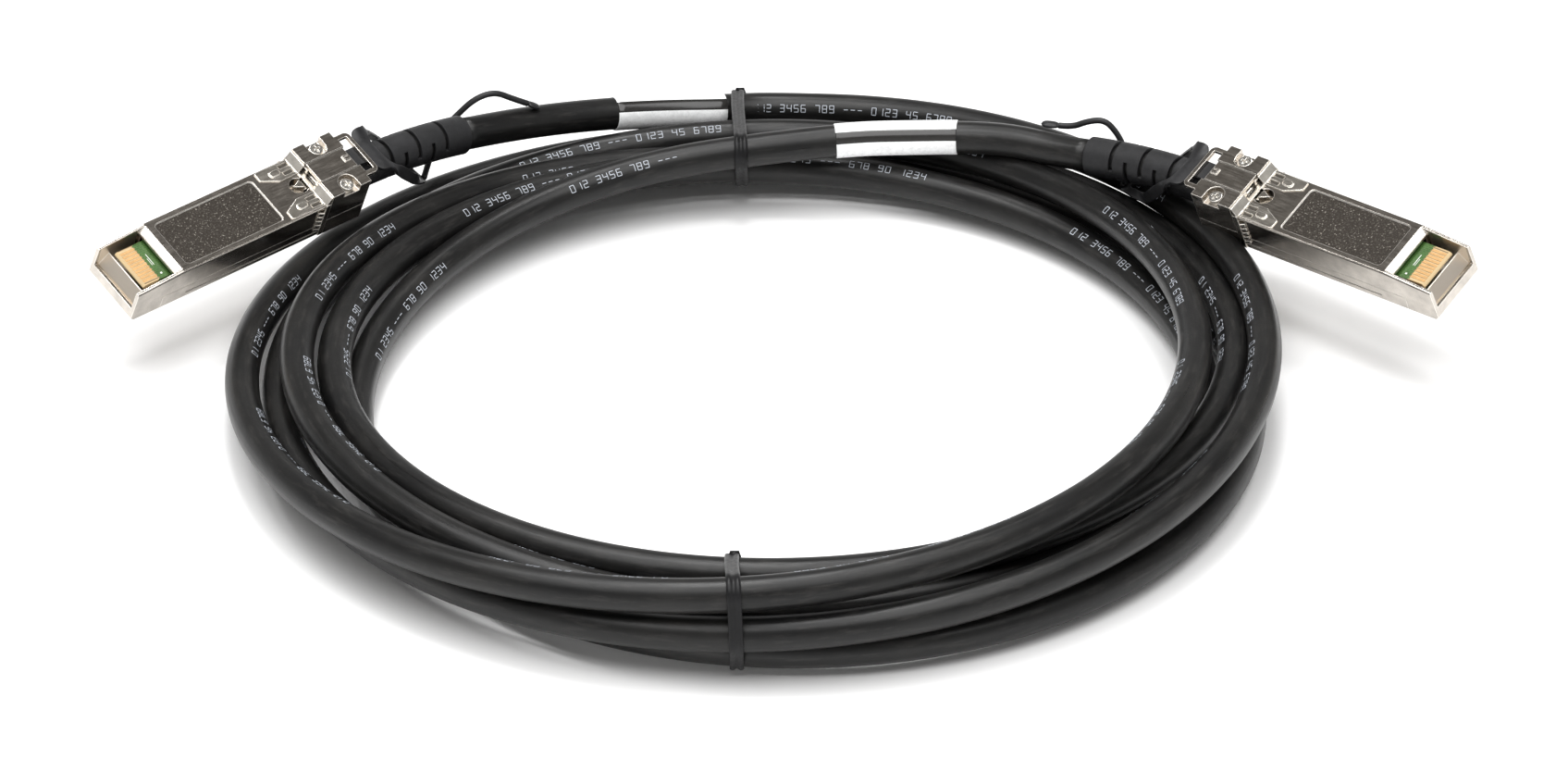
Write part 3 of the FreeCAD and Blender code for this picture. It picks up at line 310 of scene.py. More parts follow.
def board_material(side):
    """Green solder mask with faint copper runs, and the bare board past its edge, with painted shade in a
    darker brown between the fingers.
    """
    s = Shader("board_" + side, Roughness=0.34)
    place = s.local(side)
    axes = s.add("ShaderNodeSeparateXYZ", {"Vector": place})
    runs = s.add("ShaderNodeTexBrick", {"Vector": place, "Scale": 0.55, "Mortar Size": 0.03})
    mask = s.mix((runs, "Fac"), (0.042, 0.11, 0.022), (0.085, 0.18, 0.04))
    shade = s.ramp(s.noise(place, 0.6, 3.0), [(0.3, 0.7), (0.7, 1.0)])
    tinted = s.mix(1.0, mask, shade, blend="MULTIPLY")
    repeat = s.calc("SINE", s.calc("MULTIPLY", (axes, "Y"), 2 * math.pi / FINGER_PITCH))
    border = s.calc("ADD", (axes, "X"), s.calc("MULTIPLY", repeat, MASK_EDGE_WAVE))
    bare = s.calc("GREATER_THAN", border, MASK_EDGE)
    gaps = s.calc("GREATER_THAN", repeat, 0.45)
    # painted shade: the bare board between the fingers takes a darker brown
    under = s.calc("MULTIPLY", gaps, s.calc("LESS_THAN", (axes, "X"), GAPS_END))
    bare_board_and_gap_shade = s.mix(under, (0.56, 0.42, 0.23), (0.20, 0.13, 0.06))
    s.feed("Base Color", s.mix(bare, tinted, bare_board_and_gap_shade))
    s.feed("Normal", s.bump((runs, "Fac"), 0.25, 0.00004))
    return s.material


def plain_material(name, tint, roughness, metallic=0.0, scale=1.2, grain=0.06):
    """An even finish with a slight unevenness of tint, gloss and surface."""
    s = Shader(name, Metallic=metallic)
    place = s.local()
    low = tuple(c * 0.88 for c in tint)
    high = tuple(min(1.0, c * 1.06) for c in tint)
    s.feed("Base Color", s.ramp(s.noise(place, scale, 3.0), [(0.3, low), (0.7, high)]))
    gloss = s.noise(place, scale * 2, 3.0)
    s.feed("Roughness", s.ramp(gloss, [(0.3, roughness - 0.05), (0.7, roughness + 0.05)]))
    s.feed("Normal", s.bump(s.noise(place, scale * 3, 3.0), grain, 0.00005))
    return s.material


JACKET = jacket_material()
LABEL_WHITE = plain_material("label_white", (0.93, 0.94, 0.945), 0.3)
LABEL_CLEAR = plain_material("label_clear_over_jacket", (0.024, 0.023, 0.022), 0.16)
MARK_GREY = plain_material("mark_grey", (0.45, 0.48, 0.53), 0.6)
TIE_BLACK = rubber_material("tie_black", (0.007, 0.007, 0.0075), 0.36, 0.1, shine=0.2)
BOOT_BLACK = rubber_material("boot_black", (0.012, 0.012, 0.013), 0.5, 0.35)
TAB_BLACK = rubber_material("tab_black", (0.014, 0.014, 0.015), 0.4, 0.1)
GOLD = plain_material("contact_gold", (0.60, 0.37, 0.17), 0.42, 1.0, grain=0.01)
FERRULE = plain_material("ferrule_brass", (0.62, 0.47, 0.26), 0.4, 1.0)
WHITE_INK = plain_material("board_white_ink", (0.75, 0.77, 0.72), 0.6)

# --------------------------------------------------------------- the cable's route, mm from the coil's centre
COIL_CENTRE = Vector((-3.0, -1.0, 0.0))
LEFT_LEAD = [(-61.1, 70.88, 18.02), (-56.0, 75.6, 16.6), (-45.5, 83.2, 14.3), (-33.0, 89.6, 12.2),
             (-20.0, 94.4, 10.2), (-8.5, 97.3, 8.7)]
RIGHT_LEAD = [(17.4, 72.3, 16.4), (29.2, 72.2, 16.7), (39.9, 71.6, 17.2), (49.8, 68.9, 17.9),
              (57.3, 65.3, 17.6), (64.17, 61.17, 18.8)]
# radius and height of the lane at the back, right, front and left of each turn, and where it ends at the back
LANES = [
    (99.5, 7.5), (94.5, 14.5), (94, 10.5), (92.5, 6),
    (87.5, 8.5), (81, 16.5), (92, 18), (99.5, 8.5),
    (93.5, 4), (89, 11), (77.5, 12), (82, 11),
    (75.5, 8), (83, 5), (83, 8.5), (89, 13.5),
    (82, 5), (91.5, 4), (91, 5), (77, 5.5),
    (69.5, 15.5),
]
STEPS_PER_QUARTER = 6
# the spline runs this much inside the circle of its control points
CONTROL_SHRINK = 0.9915
CABLE_RADIUS = 3.25


def natural_spline(values, per_gap):
    """The values, with per_gap steps from each to the next, on a natural cubic spline."""
    count = len(values)
    matrix = np.eye(count)
    right = np.zeros(count)
    for i in range(1, count - 1):
        matrix[i, i - 1:i + 2] = 1, 4, 1
        right[i] = 6 * (values[i - 1] - 2 * values[i] + values[i + 1])
    bend = np.linalg.solve(matrix, right)
    out = []
    for i in range(count - 1):
        for step in range(per_gap):
            t = step / per_gap
            back = 1 - t
            out.append(back * values[i] + t * values[i + 1]
                       + (back ** 3 - back) * bend[i] / 6 + (t ** 3 - t) * bend[i + 1] / 6)
    out.append(values[-1])
    return out


def cable_route():
    """The control points of the whole cable: the left lead, the turns of the coil and the right lead."""
    radii = natural_spline([lane[0] for lane in LANES], STEPS_PER_QUARTER)
    heights = natural_spline([lane[1] for lane in LANES], STEPS_PER_QUARTER)
    turns = []
    for step, (radius, height) in enumerate(zip(radii, heights)):
        angle = step * math.pi / 2 / STEPS_PER_QUARTER
        reach = radius / CONTROL_SHRINK
        turns.append((reach * math.sin(angle), reach * math.cos(angle), height))
    return [(Vector(point) + COIL_CENTRE) * MM for point in LEFT_LEAD + turns + RIGHT_LEAD]


def read_spline(route, resolution=8):
    """The points of a NURBS spline that has the route's points as its control points."""
    curve = bpy.data.curves.new("route", "CURVE")
    curve.dimensions = "3D"
    spline = curve.splines.new("NURBS")
    spline.points.add(len(route) - 1)
    for point, place in zip(spline.points, route):
        point.co = (*place, 1)
    spline.order_u = 3
    spline.use_endpoint_u = True
    spline.resolution_u = resolution
    holder = bpy.data.objects.new("route", curve)
    mesh = bpy.data.meshes.new_from_object(holder)
    points = [v.co.copy() for v in mesh.vertices]
    bpy.data.meshes.remove(mesh)
    bpy.data.objects.remove(holder)
    bpy.data.curves.remove(curve)
    return points


class Line:
    """A route as closely spaced points, with its length and the directions across it."""

    def __init__(self, points):
        self.points = points
        self.along = [0.0]
        for a, b in zip(points, points[1:]):
            self.along.append(self.along[-1] + (b - a).length)
        self.length = self.along[-1]

    def at(self, distance):
        """Place and the directions ahead, inwards and up at a distance along the line."""
        index = int(np.searchsorted(self.along, distance))
        index = min(max(index, 1), len(self.points) - 1)
        start, end = self.points[index - 1], self.points[index]
        share = (distance - self.along[index - 1]) / (self.along[index] - self.along[index - 1])
        before = self.points[max(index - 2, 0)]
        after = self.points[min(index + 1, len(self.points) - 1)]
        ahead = (end - before).normalized().lerp((after - start).normalized(), share).normalized()
        inward = ahead.cross(Vector((0, 0, 1))).normalized()
        return start.lerp(end, share), ahead, inward, inward.cross(ahead)

    def spot(self, distance, angle, radius):
        """A point on a tube round the line; angle 0 is its top and 90 its inner side."""
        place, _, inward, up = self.at(distance)
        return place + radius * (math.cos(angle) * up + math.sin(angle) * inward)


def tube_mesh(name, line, start, end, radius, angles, step, ends=()):
    """A tube round part of a line. ends are (distance from the end, radius) rings that shape both rims."""
    count = max(2, round((end - start) / step))
    rings = [(start + gap, r) for gap, r in ends]
    rings += [(start + (end - start) * i / count, radius) for i in range(count + 1)
              if not ends or ends[-1][0] < (end - start) * i / count < end - start - ends[-1][0]]
    rings += [(end - gap, r) for gap, r in reversed(ends)]
    points = [line.spot(distance, angle, r) for distance, r in rings for angle in angles]
    around = len(angles)
    faces = []
    for ring in range(len(rings) - 1):
        for i in range(around):
            j = (i + 1) % around
            here, there = ring * around, (ring + 1) * around
            faces.append((here + i, here + j, there + j, there + i))
    faces.append(tuple(range(around)))
    faces.append(tuple(reversed(range((len(rings) - 1) * around, len(rings) * around))))
    mesh = mesh_of(name, points, faces)
    mesh.validate()
    route = mesh.attributes.new("route", "FLOAT_VECTOR", "POINT")
    flat = [value / MM for distance, r in rings for angle in angles
            for value in (distance, r * math.cos(angle), r * math.sin(angle))]
    route.data.foreach_set("vector", flat)
    face_outwards(mesh)
    return mesh


def angles_round(count):
    """Evenly spaced angles right round a tube."""
    return [2 * math.pi * i / count for i in range(count)]


CABLE = Line(read_spline(cable_route()))
CABLE_STEP = 2.5
ROUND = angles_round(28)
cable_mesh = tube_mesh("cable", CABLE, 0, CABLE.length, CABLE_RADIUS * MM, ROUND, CABLE_STEP * MM)
cable = piece_from("cable", cable_mesh, "cable", [JACKET])
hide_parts("cable_coil", "lead_left", "lead_right")

# ---------------------------------------------------------------- marker sleeves, mm
SLEEVE_RADIUS = 3.45
SLEEVE_STEP = 1.5
# rings that round each rim: how far from the end, and radius
SLEEVE_RIM = [(0.0, 3.27), (0.0, 3.38), (0.12, SLEEVE_RADIUS)]
# the clear window's angles from the top, and where each sleeve starts and ends from its own plug's end
WINDOWS = {"left": (21, 60), "right": (32, 73)}
SLEEVE_SPANS = {"left": (36.5, 59.9), "right": (28.6, 53.0)}


def build_sleeve(side):
    """White marker sleeve with a clear window along its length."""
    low, high = WINDOWS[side]
    angles = list(np.linspace(low, high, 8)) + list(np.linspace(high, low + 360, 26))[1:-1]
    angles = [math.radians(a) for a in angles]
    start, end = SLEEVE_SPANS[side]
    if side == "right":
        start, end = CABLE.length / MM - end, CABLE.length / MM - start
    mesh = tube_mesh("label_" + side, CABLE, start * MM, end * MM, SLEEVE_RADIUS * MM, angles,
                     SLEEVE_STEP * MM, [(gap * MM, radius * MM) for gap, radius in SLEEVE_RIM])
    made = piece_from("marker_sleeve_" + side, mesh, "cable", [LABEL_WHITE, LABEL_CLEAR])
    for face in mesh.polygons:
        place = face.center
        nearest = min(range(len(CABLE.points)), key=lambda i: (CABLE.points[i] - place).length)
        spot, _, inward, up = CABLE.at(CABLE.along[nearest])
        turn = math.degrees(math.atan2((place - spot).dot(inward), (place - spot).dot(up)))
        face.material_index = int(low < turn < high)
    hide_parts("label_sleeve_" + side)
    return made


# ---------------------------------------------------------------- printed marks on the jacket, mm
# the strokes that make each sign, and each stroke's ends as shares of a digit's width and height
SEGMENTS = {"0": "abcdef", "1": "bc", "2": "abged", "3": "abgcd", "4": "fgbc", "5": "afgcd", "6": "afgedc",
            "7": "abc", "8": "abcdefg", "9": "abcdfg", "-": "g"}
STROKES = {"a": (0, 1, 1, 1), "b": (1, 1, 1, 0.5), "c": (1, 0.5, 1, 0), "d": (0, 0, 1, 0),
           "e": (0, 0.5, 0, 0), "f": (0, 1, 0, 0.5), "g": (0, 0.5, 1, 0.5)}
DIGIT_WIDE, DIGIT_TALL, DIGIT_STEP, STROKE = 0.9, 1.45, 1.5, 0.14
MARK_PROUD = 0.02
MARK_START, MARK_END = 66.0, 2790.0
# degrees round the jacket from its top, and the waves in them: size, mm along the jacket and start
MARK_TURN = 46
MARK_SWAYS = [(15, 170, 0), (9, 61, 1)]
MARK_TEXT = "012 3456 789 --- 0123 45 6789 " + 14 * " " + "01 2345 --- 678 90 1234 " + 22 * " "


def mark_angle(distance):
    """Where round the jacket the marks lie, turning slowly with its twist."""
    sway = sum(size * math.sin(distance / length + start) for size, length, start in MARK_SWAYS)
    return math.radians(MARK_TURN + sway)


def build_marks():
    """Plain numbers and dashes along the jacket, made of strokes that follow its roundness."""
    points, faces = [], []
    radius = CABLE_RADIUS + MARK_PROUD
    distance = MARK_START
    index = 0
    while distance < MARK_END:
        for name in SEGMENTS.get(MARK_TEXT[index % len(MARK_TEXT)], ""):
            x0, y0, x1, y1 = STROKES[name]
            level = y0 == y1
            count = 1 if level else 2
            for part in range(count):
                low = y0 + (y1 - y0) * part / count
                high = y0 + (y1 - y0) * (part + 1) / count
                if level:
                    box = (0, DIGIT_WIDE, y0 * DIGIT_TALL - STROKE / 2, y0 * DIGIT_TALL + STROKE / 2)
                else:
                    middle = x0 * DIGIT_WIDE
                    box = (middle - STROKE / 2, middle + STROKE / 2, high * DIGIT_TALL, low * DIGIT_TALL)
                first = len(points)
                for x, y in ((box[0], box[2]), (box[1], box[2]), (box[1], box[3]), (box[0], box[3])):
                    turn = mark_angle(distance) - (y - DIGIT_TALL / 2) / CABLE_RADIUS
                    points.append(CABLE.spot((distance + x) * MM, turn, radius * MM))
                faces.append((first, first + 1, first + 2, first + 3))
        distance += DIGIT_STEP
        index += 1
    return piece_from("jacket_marks", mesh_of("jacket_marks", points, faces), "cable", [MARK_GREY])


sleeves = [build_sleeve(side) for side in PLUGS]
marks = build_marks()

# ---------------------------------------------------------------- ties, mm
TIE_X = -8.5
TIE_STEP = 0.8
TIE_WANDER = 0.5
LEAST_HEIGHT = 0.02
# across the band and out from the strands, from its one edge to the other
TIE_PROFILE = [(-1.3, 0.02), (-1.3, 0.5), (-1.05, 0.68), (-0.75, 0.74), (-0.4, 0.62), (-0.22, 0.5), (0, 0.46),
               (0.22, 0.5), (0.4, 0.62), (0.75, 0.74), (1.05, 0.68), (1.3, 0.5), (1.3, 0.02)]
# the knot's corners: along the cable, round the tie and out from it
KNOT = [(-1.2, -0.9, 0.1), (1.2, -0.9, 0.1), (1.2, 0.9, 0.1), (-1.2, 0.9, 0.1),
        (-0.8, -0.6, 1.2), (0.8, -0.6, 1.2), (0.8, 0.6, 1.2), (-0.8, 0.6, 1.2)]
# the knot sits where the tie reaches furthest this way, in y and z, and these are its own directions there
KNOT_TOWARDS = (0.8, 0.6)
KNOT_ROUND = (0.7, -0.7)
KNOT_OUT = (0.6, 0.8)
KNOT_FACES = [(0, 1, 2, 3), (4, 7, 6, 5), (0, 4, 5, 1), (1, 5, 6, 2), (2, 6, 7, 3), (3, 7, 4, 0)]


def convex_outline(points):
    """The corners of the tightest band round a set of points."""
    points = sorted(set(points))

    def half_of(row):
        """One side of the band, from the first corner of a sorted row to its last."""
        out = []
        for p in row:
            while len(out) > 1 and ((out[-1][0] - out[-2][0]) * (p[1] - out[-2][1])
                                    - (out[-1][1] - out[-2][1]) * (p[0] - out[-2][0])) <= 0:
                out.pop()
            out.append(p)
        return out

    lower, upper = half_of(points), half_of(reversed(points))
    return lower[:-1] + upper[:-1]


def build_tie(name, back):
    """A flat double-ribbed tie pulled tight round the strands where they pass under it."""
    plane = TIE_X * MM
    section = []
    for a, b in zip(CABLE.points, CABLE.points[1:]):
        if (a.x - plane) * (b.x - plane) <= 0 and a.x != b.x and (a.y > 0) == back:
            centre = a.lerp(b, (plane - a.x) / (b.x - a.x)) / MM
            for angle in ROUND:
                section.append((round(centre.y + CABLE_RADIUS * math.cos(angle), 4),
                                round(centre.z + CABLE_RADIUS * math.sin(angle), 4)))
    outline = convex_outline(section)
    smooth = []
    for (y0, z0), (y1, z1) in zip(outline, outline[1:] + outline[:1]):
        gap = math.dist((y0, z0), (y1, z1))
        parts = max(1, round(gap / TIE_STEP))
        smooth += [(y0 + (y1 - y0) * i / parts, z0 + (z1 - z0) * i / parts) for i in range(parts)]
    count = len(smooth)
    points = []
    for i, (y, z) in enumerate(smooth):
        before, after = smooth[i - 2], smooth[(i + 2) % count]
        length = math.dist(before, after)
        out_y, out_z = (after[1] - before[1]) / length, -(after[0] - before[0]) / length
        lean = TIE_WANDER * math.sin(2 * math.pi * i / count + 1)
        for x, rise in TIE_PROFILE:
            height = max(LEAST_HEIGHT, z + out_z * rise)
            points.append((plane + (x + lean) * MM, (y + out_y * rise) * MM, height * MM))
    rows = len(TIE_PROFILE)
    faces = []
    for i in range(count):
        j = (i + 1) % count
        for k in range(rows):
            m = (k + 1) % rows
            faces.append((i * rows + k, j * rows + k, j * rows + m, i * rows + m))
    y, z = max(smooth, key=lambda place: place[0] * KNOT_TOWARDS[0] + place[1] * KNOT_TOWARDS[1])
    first = len(points)
    for x, across, rise in KNOT:
        knot_y = y + across * KNOT_ROUND[0] + rise * KNOT_OUT[0]
        knot_z = z + across * KNOT_ROUND[1] + rise * KNOT_OUT[1]
        points.append((plane + x * MM, knot_y * MM, knot_z * MM))
    faces += [tuple(first + v for v in face) for face in KNOT_FACES]
    mesh = mesh_of(name, points, faces)
    face_outwards(mesh)
    return piece_from(name, mesh, "cable", [TIE_BLACK])


tie_back = build_tie("tie_band_back", True)
tie_front = build_tie("tie_band_front", False)
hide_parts("tie_back")
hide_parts("tie_front")

# ---------------------------------------------------------------- the cable inside each boot, mm
# the boot's own line, as in the part's source: straight, then a bend turned about the plug's axis
BOOT_STRAIGHT = 14.0
BOOT_AXIS = 3.7
BOOT_BEND_RADIUS = 130.0
BOOT_BEND_ANGLE = 12.2
CORE_START = 12.4
CORE_RADIUS = 3.2
CORE_STEP = 2.0
CORE_BENDS = 10
BEND_TURNS = {"left": 0.0, "right": -60.0}


def build_core(side):
    """The cable where it runs through the boot, dark behind the slots."""
    turn = PLUGS[side][1]
    start = plug_matrix(side) @ Vector((-BOOT_STRAIGHT, 0, -BOOT_AXIS))
    bend = Euler((0, turn.y, turn.z)).to_matrix() @ Matrix.Rotation(math.radians(BEND_TURNS[side]), 3, "X")
    points = [plug_matrix(side) @ Vector((-CORE_START, 0, -BOOT_AXIS)), start]
    for step in range(1, CORE_BENDS + 1):
        angle = math.radians(BOOT_BEND_ANGLE) * step / CORE_BENDS
        across = Vector((-math.sin(angle), 0, math.cos(angle) - 1)) * BOOT_BEND_RADIUS * MM
        points.append(start + bend @ across)
    line = Line(points)
    mesh = tube_mesh("cable_core_" + side, line, 0, line.length, CORE_RADIUS * MM, ROUND, CORE_STEP * MM)
    piece_from("cable_core_" + side, mesh, "cable", [JACKET])


for side in PLUGS:
    build_core(side)

# ---------------------------------------------------------------- pull tabs, mm in each plug's own frame
# the strap starts at this x and z, runs back flat, then bends down to a slope
TAB_START = -9.8
TAB_PLANE = 0.93
TAB_FLAT = 7.557
TAB_BEND_RADIUS = 3.0
TAB_SLOPE = math.radians(45)
TAB_THICK = 0.7
TAB_ROUNDING = 0.16
# spacing of the rows along it, points across each half, how its halves are joined and its rim smoothed
TAB_STEP = 0.35
TAB_ACROSS = 6
JOIN_WITHIN = 0.01
RIM_SMOOTHINGS = 3
# the strap's tip lies over the coil at the right, and stands off its own slope by this much there
TIP_LIFT = {"left": 0.0, "right": 3.8}
TIP_LIFT_SPAN = (20.0, 28.0)
# how far each leg is turned on edge, and where it starts and ends to be
LEG_TWIST = math.radians(72)
TWIST_RISE = (8.9, 12.9)
TWIST_FALL = (25.2, 19.7)
# how high the far corner of the head stands, and where: up and down along the strap, and towards its far side
CURL_HEIGHT = 0.8
CURL_RISE = (5.9, 7.1)
CURL_FALL = (12.5, 9.0)
CURL_ASIDE = (2.2, 5.8)
# the side of each plug that is nearer to the camera, along its y
NEAR_SIDE = {"left": 1, "right": -1}
# along the strap, then the outer and inner edge of its far half and the inner and outer edge of its near half
TAB_STATIONS = [
    (0.0, -2.3, 0.0, 0.0, 2.3), (3.0, -2.3, 0.0, 0.0, 2.3), (5.3, -2.35, 0.0, 0.0, 2.35),
    (5.75, -2.9, 0.0, 0.0, 2.9), (5.95, -4.6, 0.0, 0.0, 4.6), (6.25, -5.3, 0.0, 0.0, 5.3),
    (6.8, -5.75, 0.0, 0.0, 5.75), (7.8, -5.9, 0.0, 0.0, 5.9), (8.75, -5.9, 0.0, 0.0, 5.9),
    (8.95, -5.9, -2.4, 2.4, 5.9), (9.5, -5.9, -3.8, 3.8, 5.95), (10.6, -5.9, -4.35, 4.25, 6.1),
    (12.8, -6.1, -4.3, 3.9, 6.5), (15.2, -6.0, -4.2, 3.95, 6.85), (17.4, -5.8, -4.2, 4.3, 6.95),
    (19.7, -5.0, -3.4, 4.2, 6.9), (21.8, -3.4, -1.8, 3.9, 6.4), (23.8, -1.2, 0.6, 3.5, 5.85),
    (25.4, 1.1, 2.9, 3.5, 5.3), (25.7, 1.4, 3.2, 3.2, 5.2), (27.0, 2.5, 3.4, 3.4, 4.7),
    (28.0, 3.1, 3.6, 3.6, 4.2),
]
STRIP_RADIUS = 0.62
STRIP_STEP = 0.6
STRIP_RIM = [(0.0, 0.4), (0.1, 0.8), (0.3, 1.0)]
# the strip starts here on the strap: along, across and off its face
STRIP_START = (27.2, 3.7, 0.25)
# control points from the coil's centre
STRIP_ROUTES = {
    "left": [(-66.6, 71.8, 14.4), (-64.4, 75.8, 16.6), (-61.6, 76.8, 19.4), (-58.2, 77.4, 22.6),
             (-54.2, 78.5, 23.6), (-50.6, 79.8, 21.2), (-47.6, 81.0, 19.4)],
    "right": [(70.5, 61.0, 15.8), (70.8, 66.0, 17.9), (69.2, 66.8, 21.0), (66.8, 67.6, 23.4),
              (63.4, 68.4, 22.6), (60.4, 69.0, 20.9), (57.6, 69.6, 21.0)],
}
GRIP_HALF_LONG = {"left": 1.5, "right": 1.9}
GRIP_HALF_WIDE = 1.15
GRIP_HALF_THICK = 0.55
# how far the grip's middle lies past the strip's end, as a share of its half length
GRIP_PAST_END = 0.75
GRIP_RINGS = 12
GRIP_AROUND = 16


def tab_point(side, along, across, lift=0.0):
    """A point on the strap: flat under the frame, then bent down behind it. lift is off its face."""
    turn = min(max((along - TAB_FLAT) / TAB_BEND_RADIUS, 0.0), TAB_SLOPE)
    flat = min(along, TAB_FLAT)
    slope = max(along - TAB_FLAT - TAB_BEND_RADIUS * TAB_SLOPE, 0.0)
    lift += TIP_LIFT[side] * smooth_step(along, *TIP_LIFT_SPAN)
    x = TAB_START - flat - (TAB_BEND_RADIUS + lift) * math.sin(turn) - slope * math.cos(TAB_SLOPE)
    z = TAB_PLANE - TAB_BEND_RADIUS + (TAB_BEND_RADIUS + lift) * math.cos(turn) - slope * math.sin(TAB_SLOPE)
    return plug_matrix(side) @ Vector((x, across * NEAR_SIDE[side], z))


def leg_twist(along):
    """How far the loop's legs are turned on edge as they pass the boot."""
    return LEG_TWIST * min(smooth_step(along, *TWIST_RISE), smooth_step(along, *TWIST_FALL))


def corner_curl(along, across):
    """How far the far corner of the strap's head stands up off its face."""
    lengthwise = linear_step(along, *CURL_RISE) * linear_step(along, *CURL_FALL)
    return CURL_HEIGHT * lengthwise * smooth_step(-across, *CURL_ASIDE)


def thickened(points, faces):
    """The strap's sheet with its halves joined, its rim smoothed, its thickness and its rounded edges."""
    mesh = mesh_of("tab_loop_flat", points, faces)
    sheet = bmesh.new()
    sheet.from_mesh(mesh)
    bmesh.ops.remove_doubles(sheet, verts=sheet.verts, dist=JOIN_WITHIN * MM)
    for _ in range(RIM_SMOOTHINGS):
        bmesh.ops.smooth_vert(sheet, verts=[v for v in sheet.verts if v.is_boundary], factor=0.5,
                              use_axis_x=True, use_axis_y=True, use_axis_z=True)
    sheet.to_mesh(mesh)
    sheet.free()
    holder = bpy.data.objects.new("tab_loop_flat", mesh)
    bpy.context.collection.objects.link(holder)
    solid = holder.modifiers.new("thick", "SOLIDIFY")
    solid.thickness = TAB_THICK * MM
    solid.offset = 0
    rounded = holder.modifiers.new("round", "BEVEL")
    rounded.width = TAB_ROUNDING * MM
    rounded.segments = 2
    rounded.limit_method = "ANGLE"
    rounded.angle_limit = math.radians(50)
    made_mesh = bpy.data.meshes.new_from_object(holder.evaluated_get(bpy.context.evaluated_depsgraph_get()))
    made_mesh.polygons.foreach_set("use_smooth", [True] * len(made_mesh.polygons))
    bpy.data.objects.remove(holder)
    return made_mesh


def build_loop(side):
    """Soft strap with a rounded head and a teardrop hole that the boot passes through."""
    points, faces = [], []
    rows = []
    for low, high in zip(TAB_STATIONS, TAB_STATIONS[1:]):
        parts = max(1, round((high[0] - low[0]) / TAB_STEP))
        rows += [[a + (b - a) * i / parts for a, b in zip(low, high)] for i in range(parts)]
    rows.append(list(TAB_STATIONS[-1]))
    for along, far_out, far_in, near_in, near_out in rows:
        twist = leg_twist(along)
        for first, last, way in ((far_out, far_in, 1), (near_in, near_out, -1)):
            for i in range(TAB_ACROSS):
                aside = (last - first) * (i / (TAB_ACROSS - 1) - 0.5)
                spot = (first + last) / 2 + aside * math.cos(twist)
                lift = way * aside * math.sin(twist) + corner_curl(along, spot)
                points.append(tab_point(side, along, spot, lift))
    for row in range(len(rows) - 1):
        for half_start in (0, TAB_ACROSS):
            for i in range(TAB_ACROSS - 1):
                a = row * 2 * TAB_ACROSS + half_start + i
                b = a + 2 * TAB_ACROSS
                faces.append((a, a + 1, b + 1, b))
    made = piece_from("tab_loop_" + side, thickened(points, faces), "slider_" + side, [TAB_BLACK])
    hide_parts("pull_tab_" + side)


def build_strip(side):
    """Moulded strip from the loop's tip up behind the boot, with a small rounded grip at its end."""
    tip = tab_point(side, *STRIP_START)
    route = [tip] + [(Vector(point) + COIL_CENTRE) * MM for point in STRIP_ROUTES[side]]
    line = Line(read_spline(route))
    radius = STRIP_RADIUS * MM
    rim = [(gap * MM, share * radius) for gap, share in STRIP_RIM]
    mesh = tube_mesh("tab_strip_" + side, line, 0, line.length, radius, angles_round(14),
                     STRIP_STEP * MM, rim)
    end, ahead, inward, up = line.at(line.length)
    shape = bmesh.new()
    shape.from_mesh(mesh)
    rings = []
    for step in range(GRIP_RINGS + 1):
        share = -1 + 2 * step / GRIP_RINGS
        reach = max(1e-3, 1 - abs(share) ** 3) ** 0.5
        ring = []
        for angle in angles_round(GRIP_AROUND):
            lengthwise = ahead * (share + GRIP_PAST_END) * GRIP_HALF_LONG[side]
            sideways = inward * reach * GRIP_HALF_WIDE * math.cos(angle)
            upwards = up * reach * GRIP_HALF_THICK * math.sin(angle)
            ring.append(shape.verts.new(end + (lengthwise + sideways + upwards) * MM))
        rings.append(ring)
    for first, second in zip(rings, rings[1:]):
        for i in range(GRIP_AROUND):
            j = (i + 1) % GRIP_AROUND
            shape.faces.new((first[i], first[j], second[j], second[i]))
    shape.faces.new(rings[0])
    shape.faces.new(list(reversed(rings[-1])))
    bmesh.ops.recalc_face_normals(shape, faces=shape.faces)
    for face in shape.faces:
        face.smooth = True
    shape.to_mesh(mesh)
    shape.free()
    made = piece_from("tab_strip_" + side, mesh, "slider_" + side, [TAB_BLACK])
    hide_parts("pull_tab_" + side)


for side in PLUGS:
    build_loop(side)
    build_strip(side)

# ---------------------------------------------------------------- ink on the boards, mm in each plug's frame
BOARD_TOP = -2.25
INK_LOW, INK_HIGH = 0.002, 0.02
# each mark's x and y ranges
INK_MARKS = [(36.55, 36.95, -3.7, -3.3), (36.7, 36.85, -1.2, 1.6), (37.1, 37.2, -1.2, 0.6)]


def build_ink(side):
    """Three plain white marks on the solder mask."""
    points, faces = [], []
    for x0, x1, y0, y1 in INK_MARKS:
        first = len(points)
        for z in (BOARD_TOP + INK_LOW, BOARD_TOP + INK_HIGH):
            points += [plug_matrix(side) @ Vector((x, y * -NEAR_SIDE[side], z))
                       for x, y in ((x0, y0), (x1, y0), (x1, y1), (x0, y1))]
        for face in ((0, 3, 2, 1), (4, 5, 6, 7), (0, 1, 5, 4), (1, 2, 6, 5), (2, 3, 7, 6), (3, 0, 4, 7)):
            faces.append(tuple(first + v for v in face))
    mesh = mesh_of("board_ink_" + side, points, faces, False)
    piece_from("board_ink_" + side, mesh, "cable", [WHITE_INK])


for side in PLUGS:
    build_ink(side)

# ---------------------------------------------------------------- the plugs' CAD pieces
NICKEL = (0.58, 0.54, 0.49)
# the pale tint painted on the metal's sharp edges as their highlight
EDGE_HIGHLIGHT_TINT = (0.92, 0.88, 0.82)


def dress(node, material):
    """Give a CAD node its material."""
    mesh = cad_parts[node].data
    mesh.materials.clear()
    mesh.materials.append(material)


